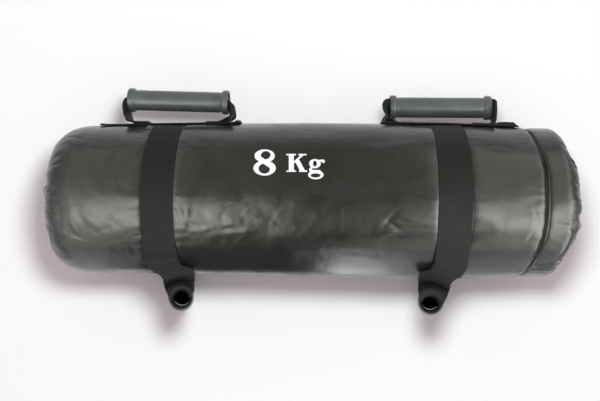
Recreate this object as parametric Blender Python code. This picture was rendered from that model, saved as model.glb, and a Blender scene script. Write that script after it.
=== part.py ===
"""Weighted training bag: a glossy coated-fabric cylinder filled with bagged sand in a foam sleeve,
with a zipped end cap, two webbing rings and four loose tube grips on webbing loops.

Metres, +Z up. +X runs along the bag from the plain end to the zipped end. The origin is on the
floor, under the middle of the bag's length. The two long grips lie along the bag on its +Y side
("far"), and the two cross grips stand across it on its -Y side ("near").
"""

import math

import bmesh
import bpy
from mathutils import Matrix, Vector

# ---------------------------------------------------------------- driving dimensions
HALF_LENGTH = 0.310  # bag, end to end 620 mm
R_MAX = 0.0953  # fullest radius of the bag
X_FULL = 0.070  # where the bag is fullest
R_LOSS_LEFT = 0.0047  # how much slimmer the bag is near its plain end
R_LOSS_ZIP = 0.0041  # how much slimmer it is at the zip
SPAN_LEFT = 0.334
SPAN_ZIP = 0.193
FLAT_DEPTH = 0.004  # how far the loaded bag settles on its underside
CORNER_LEFT = 0.040  # rounding of the gathered plain end
CORNER_CAP = 0.026  # rounding of the gathered cap end
WALL = 0.0012  # coated fabric
GAP = 0.0003  # between neighbouring pieces

X_ZIP = 0.263  # middle of the zip
ZIP_TAPE_WIDTH = 0.011
ZIP_COIL_WIDTH = 0.0014
ZIP_COIL_HEIGHT = 0.0018
ZIP_TAPE_THICK = 0.0006
HINGE_ANGLE = math.radians(-28)  # where the cap stays sewn on, measured from +Y towards +Z
HINGE_HALF = math.radians(12)
ZIP_FIRST = 7  # the zip starts and ends at these corners of the faceted section
ZIP_LAST = 3
SLIDER_ANGLE = math.radians(-60)

WEB_WIDTH = 0.038  # 1.5 inch webbing
WEB_THICK = 0.0016
RING_X = {"left": -0.173, "right": 0.161}
BASE_X = {"left": (-0.263, -0.088), "right": (0.084, 0.253)}
FOLD_WIDTH = 0.016  # webbing folded lengthwise inside a grip
FOLD_THICK = 0.0032

GRIP_LENGTH = 0.125
GRIP_RADIUS = 0.0127
GRIP_COLLAR_RADIUS = 0.0150
GRIP_COLLAR_LENGTH = 0.0085
GRIP_BORE = 0.0100
PIVOT_LIFT = 0.0053  # a loop bends this far off the bag's surface

FAR_X = {"left": -0.167, "right": 0.159}
FAR_LEVER = 0.023
FAR_FOOT = 0.056
FAR_REST = {"left": math.radians(0.0), "right": math.radians(-42.0)}
FAR_YAW = {"left": math.radians(-1.3), "right": 0.0}
NEAR_LEVER = 0.0575
NEAR_FOOT_ANGLE = math.radians(47)
NEAR_REST = {"left": math.radians(10.5), "right": math.radians(-13.0)}
NEAR_LEAN = {"left": math.radians(-5.1), "right": math.radians(-5.3)}
NEAR_TWIST = {"left": math.radians(11.5), "right": math.radians(-9.0)}  # the webbing holds these grips askew
NEAR_SLIP = 0.005  # the standing grips have slid down their webbing this far

SLEEVE_BORE = 0.0575
LINER_RADIUS = 0.0555
LINER_WALL = 0.0004
ARC_STEPS = 36

# ---------------------------------------------------------------- clean start
for old in list(bpy.data.objects):
    bpy.data.objects.remove(old, do_unlink=True)


# ---------------------------------------------------------------- materials
def finish(name, colour, roughness, metallic=0.0):
    made = bpy.data.materials.new(name)
    made.use_nodes = True
    shader = made.node_tree.nodes["Principled BSDF"]
    shader.inputs["Base Color"].default_value = (*colour, 1.0)
    shader.inputs["Roughness"].default_value = roughness
    shader.inputs["Metallic"].default_value = metallic
    return made


COATED = finish("coated_fabric", (0.028, 0.029, 0.029), 0.26)
WEBBING = finish("webbing", (0.022, 0.022, 0.021), 0.85)
GRIP = finish("grip_rubber", (0.060, 0.070, 0.076), 0.45)
ZIP_TAPE = finish("zip_tape", (0.012, 0.012, 0.012), 0.8)
ZIP_COIL = finish("zip_coil", (0.015, 0.015, 0.016), 0.4)
METAL = finish("slider_metal", (0.35, 0.35, 0.36), 0.3, 1.0)
FOAM = finish("foam", (0.30, 0.31, 0.33), 0.9)
LINER = finish("liner_film", (0.45, 0.47, 0.42), 0.5)
SAND = finish("sand", (0.50, 0.40, 0.26), 0.95)
CORD = finish("tie_cord", (0.60, 0.58, 0.50), 0.8)


# ---------------------------------------------------------------- shape of the bag
def radius_at(x):
    """Outer radius of the full bag: a slow barrel, slimmer towards both ends."""
    x = max(-HALF_LENGTH + CORNER_LEFT, min(X_ZIP, x))
    if x < X_FULL:
        return R_MAX - R_LOSS_LEFT * ((x - X_FULL) / SPAN_LEFT) ** 2
    return R_MAX - R_LOSS_ZIP * ((x - X_FULL) / SPAN_ZIP) ** 2


def centre_z(x):
    """Height of the bag's middle line: the underside stays on the floor all along."""
    return radius_at(x) - FLAT_DEPTH


HALF_FLAT = math.acos((R_MAX - FLAT_DEPTH) / R_MAX)
ARC = [
    -math.pi / 2 + HALF_FLAT + (2 * math.pi - 2 * HALF_FLAT) * i / ARC_STEPS for i in range(ARC_STEPS + 1)
] + [1.5 * math.pi]


def on_section(x, angle, r, floor):
    """A point of the bag's cross-section: a circle that the floor cuts flat."""
    return Vector((x, r * math.cos(angle), max(centre_z(x) + r * math.sin(angle), floor)))


def station(x, inset, angles=ARC):
    """A whole ring of the section, inset from the outer surface."""
    return [on_section(x, a, radius_at(x) - inset, inset) for a in angles]


def round_station(x, r, angles=ARC):
    return [on_section(x, a, r, 0.0) for a in angles]


# ---------------------------------------------------------------- mesh helpers
def to_object(name, bm, material, sharp=35.0):
    bmesh.ops.recalc_face_normals(bm, faces=bm.faces[:])
    if bm.calc_volume(signed=True) < 0:
        bmesh.ops.reverse_faces(bm, faces=bm.faces[:])
    mesh = bpy.data.meshes.new(name)
    bm.to_mesh(mesh)
    bm.free()
    mesh.shade_smooth()
    mesh.set_sharp_from_angle(angle=math.radians(sharp))
    mesh.materials.append(material)
    made = bpy.data.objects.new(name, mesh)
    bpy.context.scene.collection.objects.link(made)
    return made


def loft_rings(name, rings, material, closed=True, caps=False, sharp=35.0):
    """Skins a list of rings. closed joins the last ring to the first, caps fills both end rings."""
    bm = bmesh.new()
    loops = [[bm.verts.new(p) for p in ring] for ring in rings]
    n = len(loops[0])
    pairs = list(zip(loops, loops[1:]))
    if closed:
        pairs.append((loops[-1], loops[0]))
    for a, b in pairs:
        for i in range(n):
            j = (i + 1) % n
            bm.faces.new((a[i], a[j], b[j], b[i]))
    if caps:
        for loop, x_mid in ((loops[0], rings[0]), (loops[-1], rings[-1])):
            hub = bm.verts.new(sum((Vector(p) for p in x_mid), Vector()) / n)
            for i in range(n):
                bm.faces.new((loop[i], loop[(i + 1) % n], hub))
    return to_object(name, bm, material, sharp)


def spread(angle_from, angle_to, steps):
    return [angle_from + (angle_to - angle_from) * j / steps for j in range(steps + 1)]


def band(name, xs, angles, inset_out, inset_in, material):
    """A slab that follows the bag's surface through the given angles, from xs[0] to xs[-1]."""
    bm = bmesh.new()
    grid = [
        [
            [bm.verts.new(on_section(x, a, radius_at(x) - inset, inset)) for inset in (inset_out, inset_in)]
            for a in angles
        ]
        for x in xs
    ]
    rows, cols = len(xs), len(angles)
    for i in range(rows - 1):
        for j in range(cols - 1):
            for k in (0, 1):
                bm.faces.new((grid[i][j][k], grid[i + 1][j][k], grid[i + 1][j + 1][k], grid[i][j + 1][k]))
    for i in range(rows - 1):
        for j in (0, cols - 1):
            bm.faces.new((grid[i][j][0], grid[i + 1][j][0], grid[i + 1][j][1], grid[i][j][1]))
    for j in range(cols - 1):
        for i in (0, rows - 1):
            bm.faces.new((grid[i][j][0], grid[i][j + 1][0], grid[i][j + 1][1], grid[i][j][1]))
    return to_object(name, bm, material)


def turned(name, profile, material, steps=28, closed=True, sharp=35.0):
    """Turns a profile of (along X, radius) points about the X axis."""
    bm = bmesh.new()
    verts = [bm.verts.new((u, r, 0.0)) for u, r in profile]
    edges = [bm.edges.new((a, b)) for a, b in zip(verts, verts[1:])]
    if closed:
        edges.append(bm.edges.new((verts[-1], verts[0])))
    bmesh.ops.spin(
        bm,
        geom=verts + edges,
        cent=(0, 0, 0),
        axis=(1, 0, 0),
        angle=2 * math.pi,
        steps=steps,
        use_merge=True,
    )
    bmesh.ops.remove_doubles(bm, verts=bm.verts[:], dist=1e-6)
    return to_object(name, bm, material, sharp)


def prism(name, outline, axis, low, high, material):
    """Extrudes a flat outline of 2-D points along the given axis (0, 1 or 2)."""
    bm = bmesh.new()
    others = [k for k in range(3) if k != axis]

    def place(p, depth):
        co = [0.0, 0.0, 0.0]
        co[others[0]], co[others[1]], co[axis] = p[0], p[1], depth
        return co

    base = [bm.verts.new(place(p, low)) for p in outline]
    face = bm.faces.new(base)
    grown = bmesh.ops.extrude_face_region(bm, geom=[face])
    moved = [g for g in grown["geom"] if isinstance(g, bmesh.types.BMVert)]
    shift = [0.0, 0.0, 0.0]
    shift[axis] = high - low
    bmesh.ops.translate(bm, verts=moved, vec=shift)
    return to_object(name, bm, material)


def joined_with(base, extra):
    """Boolean union of extra into base; extra stays as a hidden guide."""
    extra.hide_render = True
    extra.display_type = "WIRE"
    extra.hide_viewport = False
    union = base.modifiers.new("join_" + extra.name, "BOOLEAN")
    union.operation = "UNION"
    union.object = extra
    union.solver = "EXACT"


def pivot(name, matrix, parent=None):
    made = bpy.data.objects.new(name, None)
    made.empty_display_size = 0.02
    bpy.context.scene.collection.objects.link(made)
    if parent is not None:
        made.parent = parent
    made.matrix_local = matrix
    return made


# ---------------------------------------------------------------- outer shell
def rounded_end(x_end, corner, wall_in, outward, steps=6):
    """Stations of the gathered end from its inner edge to the straight side: (x, radius) pairs."""
    full = radius_at(x_end)
    out = []
    for i in range(steps + 1):
        phi = math.pi / 2 * (1 - i / steps)
        reach = corner - wall_in
        out.append((x_end - outward * corner + outward * reach * math.sin(phi), full - corner + reach * math.cos(phi)))
    return out


def shell_rings(inset):
    """Rings of the body shell from the plain end to the zip, at an inset from the outer surface."""
    rings = [round_station(x, r) for x, r in rounded_end(-HALF_LENGTH, CORNER_LEFT, inset, -1)[:-1]]
    rings.append(station(-HALF_LENGTH + CORNER_LEFT, inset))
    half = WEB_WIDTH / 2 + GAP
    sink = WEB_THICK + GAP
    for side, beyond in (("left", (-0.090, -0.010, 0.070)), ("right", (0.222,))):
        x = RING_X[side]
        shoulder = half + 0.0012 + (0.0006 if inset else 0.0)
        rings += [
            station(x - shoulder, inset),
            station(x - half, inset + sink),
            station(x + half, inset + sink),
            station(x + shoulder, inset),
        ]
        rings += [station(b, inset) for b in beyond]
    rings.append(station(X_ZIP - 0.003, inset))
    return rings


loft_rings("shell_body", shell_rings(0.0) + list(reversed(shell_rings(WALL))), COATED)

loft_rings(
    "end_panel_left",
    [
        round_station(x, radius_at(-HALF_LENGTH) - CORNER_LEFT - GAP - cut)
        for x, cut in ((-HALF_LENGTH, 0.0006), (-HALF_LENGTH + 0.0006, 0.0), (-HALF_LENGTH + 0.0018, 0.0))
    ],
    COATED,
    closed=False,
    caps=True,
)


def cap_rings(inset):
    rings = [station(X_ZIP + 0.003, inset)]
    rings += [round_station(x, r) for x, r in reversed(rounded_end(HALF_LENGTH, CORNER_CAP, inset, 1)[:-1])]
    rings.insert(1, station(HALF_LENGTH - CORNER_CAP, inset))
    return rings


loft_rings("cap_shell", cap_rings(0.0) + list(reversed(cap_rings(WALL))), COATED)

loft_rings(
    "end_panel_right",
    [
        round_station(x, radius_at(HALF_LENGTH) - CORNER_CAP - GAP - cut)
        for x, cut in ((HALF_LENGTH - 0.0018, 0.0), (HALF_LENGTH - 0.0006, 0.0), (HALF_LENGTH, 0.0006))
    ],
    COATED,
    closed=False,
    caps=True,
)

# ---------------------------------------------------------------- zip
tape_out = WALL + GAP
tape_in = tape_out + ZIP_TAPE_THICK
coil_out = 0.0003
coil_in = coil_out + ZIP_COIL_HEIGHT
zip_run = ARC[ZIP_FIRST:] + [a + 2 * math.pi for a in ARC[: ZIP_LAST + 1]]
for side, sign in (("body", -1), ("cap", 1)):
    coil_near, coil_far = X_ZIP + sign * GAP / 2, X_ZIP + sign * (GAP / 2 + ZIP_COIL_WIDTH)
    tape_near, tape_far = coil_far + sign * GAP, X_ZIP + sign * ZIP_TAPE_WIDTH
    band("zip_coil_" + side, sorted((coil_near, coil_far)), zip_run, coil_out, coil_in, ZIP_COIL)
    band("zip_tape_" + side, sorted((tape_near, tape_far)), zip_run, tape_out, tape_in, ZIP_TAPE)

band(
    "cap_hinge_tab",
    (X_ZIP - 0.018, X_ZIP - GAP / 2 - 0.0002),
    spread(HINGE_ANGLE - HINGE_HALF, HINGE_ANGLE + HINGE_HALF, 5),
    -GAP - 0.0010,
    -GAP,
    COATED,
)

# The cap turns about the tangent of the bag's outer edge at the sewn tab.
hinge_out = Vector((0.0, math.cos(HINGE_ANGLE), math.sin(HINGE_ANGLE)))
hinge_point = Vector((X_ZIP, 0.0, centre_z(X_ZIP))) + hinge_out * radius_at(X_ZIP)
cap_pivot = pivot("pivot_cap", Matrix.Translation(hinge_point))
for name in ("cap_shell", "end_panel_right", "zip_coil_cap", "zip_tape_cap"):
    ob = bpy.data.objects[name]
    ob.parent = cap_pivot
    ob.matrix_parent_inverse = Matrix.Translation(-hinge_point)

# Slider: local X along the bag, local Y round it, local Z outwards; it runs round the bag's axis.
zip_axis = pivot("pivot_zip_travel", Matrix.Translation((X_ZIP, 0.0, centre_z(X_ZIP))))
slider_turn = Matrix.Rotation(SLIDER_ANGLE - math.pi / 2, 4, "X")
slider_place = slider_turn @ Matrix.Translation((0.0, 0.0, radius_at(X_ZIP) + 0.0006))
BAR_HEIGHT = 0.00415

slider = prism(
    "zip_slider",
    [
        (-0.0030, -0.0058),
        (0.0030, -0.0058),
        (0.0040, -0.0044),
        (0.0040, 0.0020),
        (0.0022, 0.0058),
        (-0.0022, 0.0058),
        (-0.0042, 0.0020),
        (-0.0042, -0.0044),
    ],
    2,
    0.0,
    0.0014,
    METAL,
)
arch = prism(
    "slider_bridge_guide",
    [
        (-0.0032, 0.0011),
        (-0.0032, 0.0048),
        (0.0032, 0.0048),
        (0.0032, 0.0011),
        (0.0022, 0.0011),
        (0.0022, 0.0035),
        (-0.0022, 0.0035),
        (-0.0022, 0.0011),
    ],
    1,
    -0.0007,
    0.0007,
    METAL,
)
for ob in (slider, arch):
    ob.parent = zip_axis
    ob.matrix_local = slider_place
joined_with(slider, arch)

pull_pivot = pivot(
    "pivot_pull",
    slider_place @ Matrix.Translation((0.0, 0.0, BAR_HEIGHT)) @ Matrix.Rotation(math.radians(-10), 4, "X"),
    zip_axis,
)
pull = turned(
    "zip_pull",
    [(-0.0019, 0.00225), (-0.0019, 0.00118), (0.0019, 0.00118), (0.0019, 0.00225)],
    METAL,
    steps=16,
)
blade = prism(
    "pull_blade_guide",
    [
        (-0.0019, 0.0017),
        (0.0019, 0.0017),
        (0.0019, 0.0040),
        (0.0034, 0.0058),
        (0.0034, 0.0200),
        (0.0022, 0.0220),
        (-0.0022, 0.0220),
        (-0.0034, 0.0200),
        (-0.0034, 0.0058),
        (-0.0019, 0.0040),
    ],
    2,
    -0.0006,
    0.0006,
    METAL,
)
for ob in (pull, blade):
    ob.parent = pull_pivot
joined_with(pull, blade)

# ---------------------------------------------------------------- filling
sleeve_x = (-0.262, -0.100, 0.070, 0.170, 0.242)
outer = [station(x, 0.005) for x in sleeve_x]
inner = [[Vector((x, SLEEVE_BORE * math.cos(a), centre_z(0.0) + SLEEVE_BORE * math.sin(a))) for a in ARC] for x in (sleeve_x[-1], sleeve_x[0])]
loft_rings("filler_sleeve", outer + inner, FOAM)

loft_rings(
    "filler_pad_left",
    [round_station(x, r) for x, r in ((-0.3040, 0.050), (-0.3035, 0.058), (-0.2900, 0.076), (-0.2640, 0.084))],
    FOAM,
    closed=False,
    caps=True,
)
loft_rings(
    "filler_pad_right",
    [round_station(x, 0.084) for x in (0.244, 0.2605)],
    FOAM,
    closed=False,
    caps=True,
)
cap_pad = loft_rings(
    "cap_pad",
    [round_station(x, r) for x, r in ((0.2655, 0.084), (0.2860, 0.084), (0.3000, 0.076), (0.3060, 0.064))],
    FOAM,
    closed=False,
    caps=True,
)
cap_pad.parent = cap_pivot
cap_pad.matrix_parent_inverse = Matrix.Translation(-hinge_point)


def bag_profile(length, radius, neck, neck_length):
    """Half outline of a tied bag: domed bottom, straight side, shoulder, neck. (x, radius) pairs."""
    dome = [(0.022 * (1 - math.cos(t)), radius * math.sin(t)) for t in (0.45, 0.85, 1.2, math.pi / 2)]
    side = [(length - 0.030, radius)]
    shoulder = [(length - 0.010, radius * 0.86), (length - 0.001, radius * 0.52), (length + 0.003, neck)]
    tip = [(length + neck_length, neck * 1.05)]
    return dome + side + shoulder + tip


LINER_LENGTH = 0.205
NECK = 0.0075
for side, start, way in (("left", -0.246, 1), ("right", -0.002, 1)):
    skin = [(0.0, 0.0)] + bag_profile(LINER_LENGTH, LINER_RADIUS, NECK, 0.020)
    under = [(LINER_WALL, 0.0)] + [
        (x + (LINER_WALL if x < 0.03 else 0.0), r - LINER_WALL)
        for x, r in bag_profile(LINER_LENGTH, LINER_RADIUS, NECK, 0.020)
    ]
    place = Matrix.Translation((start, 0.0, centre_z(0.0)))
    liner = turned("sand_liner_" + side, skin + list(reversed(under)), LINER, steps=26, closed=False)
    core = [(2 * LINER_WALL + GAP, 0.0)] + [
        (x + (2 * LINER_WALL + GAP if x < 0.03 else -0.0004), r - LINER_WALL - GAP)
        for x, r in bag_profile(LINER_LENGTH, LINER_RADIUS, NECK, 0.020)[:-3]
    ]
    core.append((core[-1][0] + 0.001, 0.0))
    sand = turned("sand_" + side, core, SAND, steps=26, closed=False)
    ring = bpy.data.curves.new("liner_tie_" + side, "CURVE")
    ring.dimensions = "3D"
    loop = ring.splines.new("POLY")
    loop.points.add(15)
    for i, point in enumerate(loop.points):
        a = 2 * math.pi * i / 16
        point.co = (0.0, (NECK + 0.0016) * math.cos(a), (NECK + 0.0016) * math.sin(a), 1.0)
    loop.use_cyclic_u = True
    ring.bevel_depth = 0.0009
    ring.bevel_resolution = 1
    ring.render_resolution_u = 0
    ring.materials.append(CORD)
    tie = bpy.data.objects.new("liner_tie_" + side, ring)
    bpy.context.scene.collection.objects.link(tie)
    for ob in (liner, sand):
        ob.matrix_local = place
    tie.matrix_local = place @ Matrix.Translation((LINER_LENGTH + 0.010, 0.0, 0.0))

# ---------------------------------------------------------------- webbing sewn to the bag
for side, x in RING_X.items():
    half = WEB_WIDTH / 2
    loft_rings(
        "ring_strap_" + side,
        [station(x - half, 0.0), station(x + half, 0.0), station(x + half, WEB_THICK), station(x - half, WEB_THICK)],
        WEBBING,
    )
    span = WEB_WIDTH / 2 / radius_at(x)
    start, stop = BASE_X[side]
    steps = 6
    band(
        "base_strap_" + side,
        spread(start, stop, steps),
        spread(-span, span, 4),
        -GAP - WEB_THICK,
        -GAP,
        WEBBING,
    )
    for level, sign in (("upper", -1), ("lower", 1)):
        middle = math.pi + sign * NEAR_FOOT_ANGLE
        reach = 0.013 / radius_at(x)
        band(
            f"anchor_patch_{side}_{level}",
            (x - half, x + half),
            spread(middle - reach, middle + reach, 3),
            -GAP - WEB_THICK,
            -GAP,
            WEBBING,
        )


# ---------------------------------------------------------------- handles
def loop_path(foot, lever, tilt, slip):
    """Route of a handle's webbing in its own plane: (along the grip, away from the bag, half width).
    It leaves one foot, swells past the grip's end, folds into the bore and comes back to the other foot."""
    end = GRIP_LENGTH / 2

    def arm(sign):
        rim = end - sign * slip
        out = max(rim, foot) + 0.006
        tip = lever + sign * end * math.tan(tilt)
        return [
            (sign * foot, 0.0, 0.0022),
            (sign * (foot + 0.35 * (out - foot)), 0.14 * tip, 0.0038),
            (sign * (foot + 0.80 * (out - foot)), 0.34 * tip, 0.0066),
            (sign * out, 0.60 * tip, 0.0078),
            (sign * (out - 0.0010), 0.84 * tip, FOLD_WIDTH / 2),
            (sign * (rim + 0.0022), tip - 0.0006, FOLD_WIDTH / 2),
            (sign * (rim - 0.0030), lever + sign * (end - 0.003) * math.tan(tilt), FOLD_WIDTH / 2),
        ]

    return arm(-1) + [(-slip, lever, FOLD_WIDTH / 2)] + list(reversed(arm(1)))


def webbing_loop(name, path):
    """Sweeps a flat section along the path; the width stands across the path's plane."""
    rings = []
    for i, (u, v, half) in enumerate(path):
        a = Vector(path[max(i - 1, 0)][:2])
        b = Vector(path[min(i + 1, len(path) - 1)][:2])
        t = (b - a).normalized()
        n = Vector((-t.y, t.x))
        h = FOLD_THICK / 2
        rings.append(
            [
                Vector((u + n.x * s * h, v + n.y * s * h, w * half))
                for s, w in ((-1, -1), (1, -1), (1, 1), (-1, 1))
            ]
        )
    return loft_rings(name, rings, WEBBING, closed=False, caps=True)


def grip_profile():
    half, c = GRIP_LENGTH / 2, 0.0010
    waist = half - GRIP_COLLAR_LENGTH
    right = [
        (waist - 0.0014, GRIP_RADIUS),
        (waist, GRIP_COLLAR_RADIUS - 0.0006),
        (waist + 0.0018, GRIP_COLLAR_RADIUS),
        (half - c, GRIP_COLLAR_RADIUS),
        (half, GRIP_COLLAR_RADIUS - c),
        (half, GRIP_BORE + 0.0008),
        (half - 0.0008, GRIP_BORE),
    ]
    return right + [(-u, r) for u, r in reversed(right)]


def twisted(p, twist, slip, tip):
    """A point of the loop, turned about the line from the bag to the grip: nothing at the feet, all of it at the grip."""
    t = max(0.0, min(1.0, (p.y / tip - 0.10) / 0.70))
    share = t * t * (3.0 - 2.0 * t)
    middle = Vector((-slip, 0.0, 0.0))
    return middle + Matrix.Rotation(-twist * share, 3, "Y") @ (p - middle)


def handle(name, place, foot, lever, tilt, slip=0.0, twist=0.0):
    swing = pivot("pivot_" + name, place)
    web = webbing_loop("handle_web_" + name, loop_path(foot, lever, tilt, slip))
    if twist:
        for v in web.data.vertices:
            v.co = twisted(v.co, twist, slip, lever - GRIP_LENGTH / 2 * abs(math.tan(tilt)))
    web.parent = swing
    grip = turned("grip_" + name, grip_profile(), GRIP, steps=28)
    grip.parent = swing
    grip.matrix_local = (
        Matrix.Translation((-slip, lever, 0.0)) @ Matrix.Rotation(-twist, 4, "Y") @ Matrix.Rotation(tilt, 4, "Z")
    )


def frame_of(u, v, where):
    """Matrix whose X, Y and Z columns are u, v and u x v, at a place."""
    made = Matrix((u, v, u.cross(v))).transposed().to_4x4()
    made.translation = where
    return made


for side, x in FAR_X.items():
    full = max(radius_at(x - FAR_FOOT), radius_at(x + FAR_FOOT))
    where = Vector((x, full + PIVOT_LIFT, centre_z(x)))
    place = frame_of(Vector((1, 0, 0)), Vector((0, 1, 0)), where) @ Matrix.Rotation(FAR_REST[side], 4, "X")
    handle("far_" + side, place, FAR_FOOT, FAR_LEVER, FAR_YAW[side])

for side, x in RING_X.items():
    reach = radius_at(x) + PIVOT_LIFT
    where = Vector((x, -reach * math.cos(NEAR_FOOT_ANGLE), centre_z(x)))
    place = frame_of(Vector((0, 0, 1)), Vector((0, -1, 0)), where) @ Matrix.Rotation(NEAR_REST[side], 4, "X")
    foot = reach * math.sin(NEAR_FOOT_ANGLE)
    handle("near_" + side, place, foot, NEAR_LEVER, NEAR_LEAN[side], NEAR_SLIP, NEAR_TWIST[side])

bpy.context.view_layer.update()
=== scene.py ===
"""Looks of the weighted training bag: glossy coated fabric gathered at both ends, matte webbing rings,
four tube grips on folded webbing, a zipped end cap and the bagged sand inside.

Metres, +Z up, +X from the plain end to the zipped end, origin on the floor under the middle of the bag.
Angles round the bag are measured from +Y (the side with the long grips) towards +Z.
"""

import math

import bmesh
import bpy
import numpy as np
from mathutils import Matrix, Vector
from mathutils.bvhtree import BVHTree


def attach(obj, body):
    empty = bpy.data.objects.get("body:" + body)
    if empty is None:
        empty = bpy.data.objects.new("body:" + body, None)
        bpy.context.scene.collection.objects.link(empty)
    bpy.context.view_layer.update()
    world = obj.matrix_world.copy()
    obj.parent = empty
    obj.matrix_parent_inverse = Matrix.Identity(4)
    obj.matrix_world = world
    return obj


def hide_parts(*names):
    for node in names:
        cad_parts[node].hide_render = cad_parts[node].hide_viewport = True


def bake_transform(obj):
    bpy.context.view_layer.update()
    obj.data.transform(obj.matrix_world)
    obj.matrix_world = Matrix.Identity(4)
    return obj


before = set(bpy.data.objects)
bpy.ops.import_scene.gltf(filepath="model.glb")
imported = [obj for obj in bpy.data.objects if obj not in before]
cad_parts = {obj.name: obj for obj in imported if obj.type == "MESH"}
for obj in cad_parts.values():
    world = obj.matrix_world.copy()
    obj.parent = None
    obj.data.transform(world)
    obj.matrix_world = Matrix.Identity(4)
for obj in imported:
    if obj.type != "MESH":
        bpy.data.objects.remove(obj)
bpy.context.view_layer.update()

# ---------------------------------------------------------------- dimensions of the part
HALF_LENGTH = 0.310
R_MAX = 0.0953
X_FULL = 0.070
R_LOSS_LEFT = 0.0047
R_LOSS_ZIP = 0.0041
SPAN_LEFT = 0.334
SPAN_ZIP = 0.193
FLAT_DEPTH = 0.004
CORNER_LEFT = 0.040
CORNER_CAP = 0.026
WALL = 0.0012
X_ZIP = 0.263
HINGE_ANGLE = math.radians(-28)
SLIDER_ANGLE = math.radians(-60)
WEB_WIDTH = 0.038
WEB_THICK = 0.0016
RING_X = {"left": -0.173, "right": 0.161}
BASE_X = {"left": (-0.263, -0.088), "right": (0.084, 0.253)}
GRIP_LENGTH = 0.125
GRIP_RADIUS = 0.0127
GRIP_COLLAR = 0.0150
PIVOT_LIFT = 0.0053
FAR_X = {"left": -0.167, "right": 0.159}
FAR_LEVER = 0.023
FAR_FOOT = 0.056
FAR_REST = {"left": 0.0, "right": math.radians(-42.0)}
FAR_YAW = {"left": math.radians(-1.3), "right": 0.0}
NEAR_LEVER = 0.0575
NEAR_FOOT_ANGLE = math.radians(47)
NEAR_REST = {"left": math.radians(10.5), "right": math.radians(-13.0)}
NEAR_LEAN = {"left": math.radians(-5.1), "right": math.radians(-5.3)}
NEAR_TWIST = {"left": math.radians(11.5), "right": math.radians(-9.0)}
NEAR_SLIP = 0.005

# ---------------------------------------------------------------- camera
FOCAL = 726.0  # pixels, in a 600 x 401 frame
CAM_AT = Vector((0.0186, 0.0, 0.991))
CAM_TURN = Matrix.Rotation(math.radians(0.54), 4, "Z") @ Matrix.Rotation(math.radians(2.11), 4, "Y")


def make_camera():
    lens = bpy.data.cameras.new("overhead")
    lens.sensor_width = 36.0
    lens.lens = FOCAL * 36.0 / 600.0
    cam = bpy.data.objects.new("overhead", lens)
    cam.matrix_world = Matrix.Translation(CAM_AT) @ CAM_TURN
    bpy.context.scene.collection.objects.link(cam)
    bpy.context.scene.camera = cam


make_camera()


def sight(px, py):
    """Direction in which the camera sees a point of its 600 x 401 frame."""
    return (CAM_TURN.to_3x3() @ Vector(((px - 300.0) / FOCAL, (200.5 - py) / FOCAL, -1.0))).normalized()


# ---------------------------------------------------------------- smooth noise
_roll = np.random.default_rng(5)
_PERM = _roll.permutation(256)
_PERM = np.concatenate([_PERM, _PERM, _PERM])
_GRAD = _roll.normal(size=(256, 3))
_GRAD /= np.linalg.norm(_GRAD, axis=1)[:, None]


def waves(p):
    """Smooth noise from -1 to 1 at points p (..., 3), with features about one unit long."""
    p = np.asarray(p, float)
    shape = p.shape[:-1]
    p = p.reshape(-1, 3)
    cell = np.floor(p).astype(int)
    f = p - cell
    cell &= 255
    u = f * f * f * (f * (f * 6 - 15) + 10)
    total = np.zeros(len(p))
    for dx in (0, 1):
        for dy in (0, 1):
            for dz in (0, 1):
                key = _PERM[_PERM[_PERM[cell[:, 0] + dx] + cell[:, 1] + dy] + cell[:, 2] + dz]
                g = _GRAD[key]
                d = f - (dx, dy, dz)
                weight = (
                    (u[:, 0] if dx else 1 - u[:, 0]) * (u[:, 1] if dy else 1 - u[:, 1]) * (u[:, 2] if dz else 1 - u[:, 2])
                )
                total += weight * (g * d).sum(1)
    return (total * 1.5).reshape(shape)


def ease(x, low, high):
    t = np.clip((x - low) / (high - low), 0.0, 1.0)
    return t * t * (3 - 2 * t)


# ---------------------------------------------------------------- mesh helpers
def mesh_object(name, verts, faces, material, uvs=None, sharp=None):
    mesh = bpy.data.meshes.new(name)
    mesh.from_pydata([tuple(v) for v in verts], [], [tuple(f) for f in faces])
    mesh.validate()
    if uvs is not None:
        layer = mesh.uv_layers.new(name="UVMap")
        loops = np.zeros(len(mesh.loops), int)
        mesh.loops.foreach_get("vertex_index", loops)
        layer.data.foreach_set("uv", np.asarray(uvs, float)[loops].astype(np.float32).ravel())
    mesh.shade_smooth()
    if sharp is not None:
        mesh.set_sharp_from_angle(angle=math.radians(sharp))
    mesh.materials.append(material)
    made = bpy.data.objects.new(name, mesh)
    bpy.context.scene.collection.objects.link(made)
    return made


def outwards(ob):
    """Makes the faces of a closed mesh face out."""
    bm = bmesh.new()
    bm.from_mesh(ob.data)
    bmesh.ops.recalc_face_normals(bm, faces=bm.faces[:])
    if bm.calc_volume(signed=True) < 0:
        bmesh.ops.reverse_faces(bm, faces=bm.faces[:])
    bm.to_mesh(ob.data)
    bm.free()
    return ob


def grid_faces(rows, cols, wrap_rows=False, wrap_cols=True, base=0):
    faces = []
    for i in range(rows if wrap_rows else rows - 1):
        k = (i + 1) % rows
        for j in range(cols if wrap_cols else cols - 1):
            m = (j + 1) % cols
            faces.append((base + i * cols + j, base + i * cols + m, base + k * cols + m, base + k * cols + j))
    return faces


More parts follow.
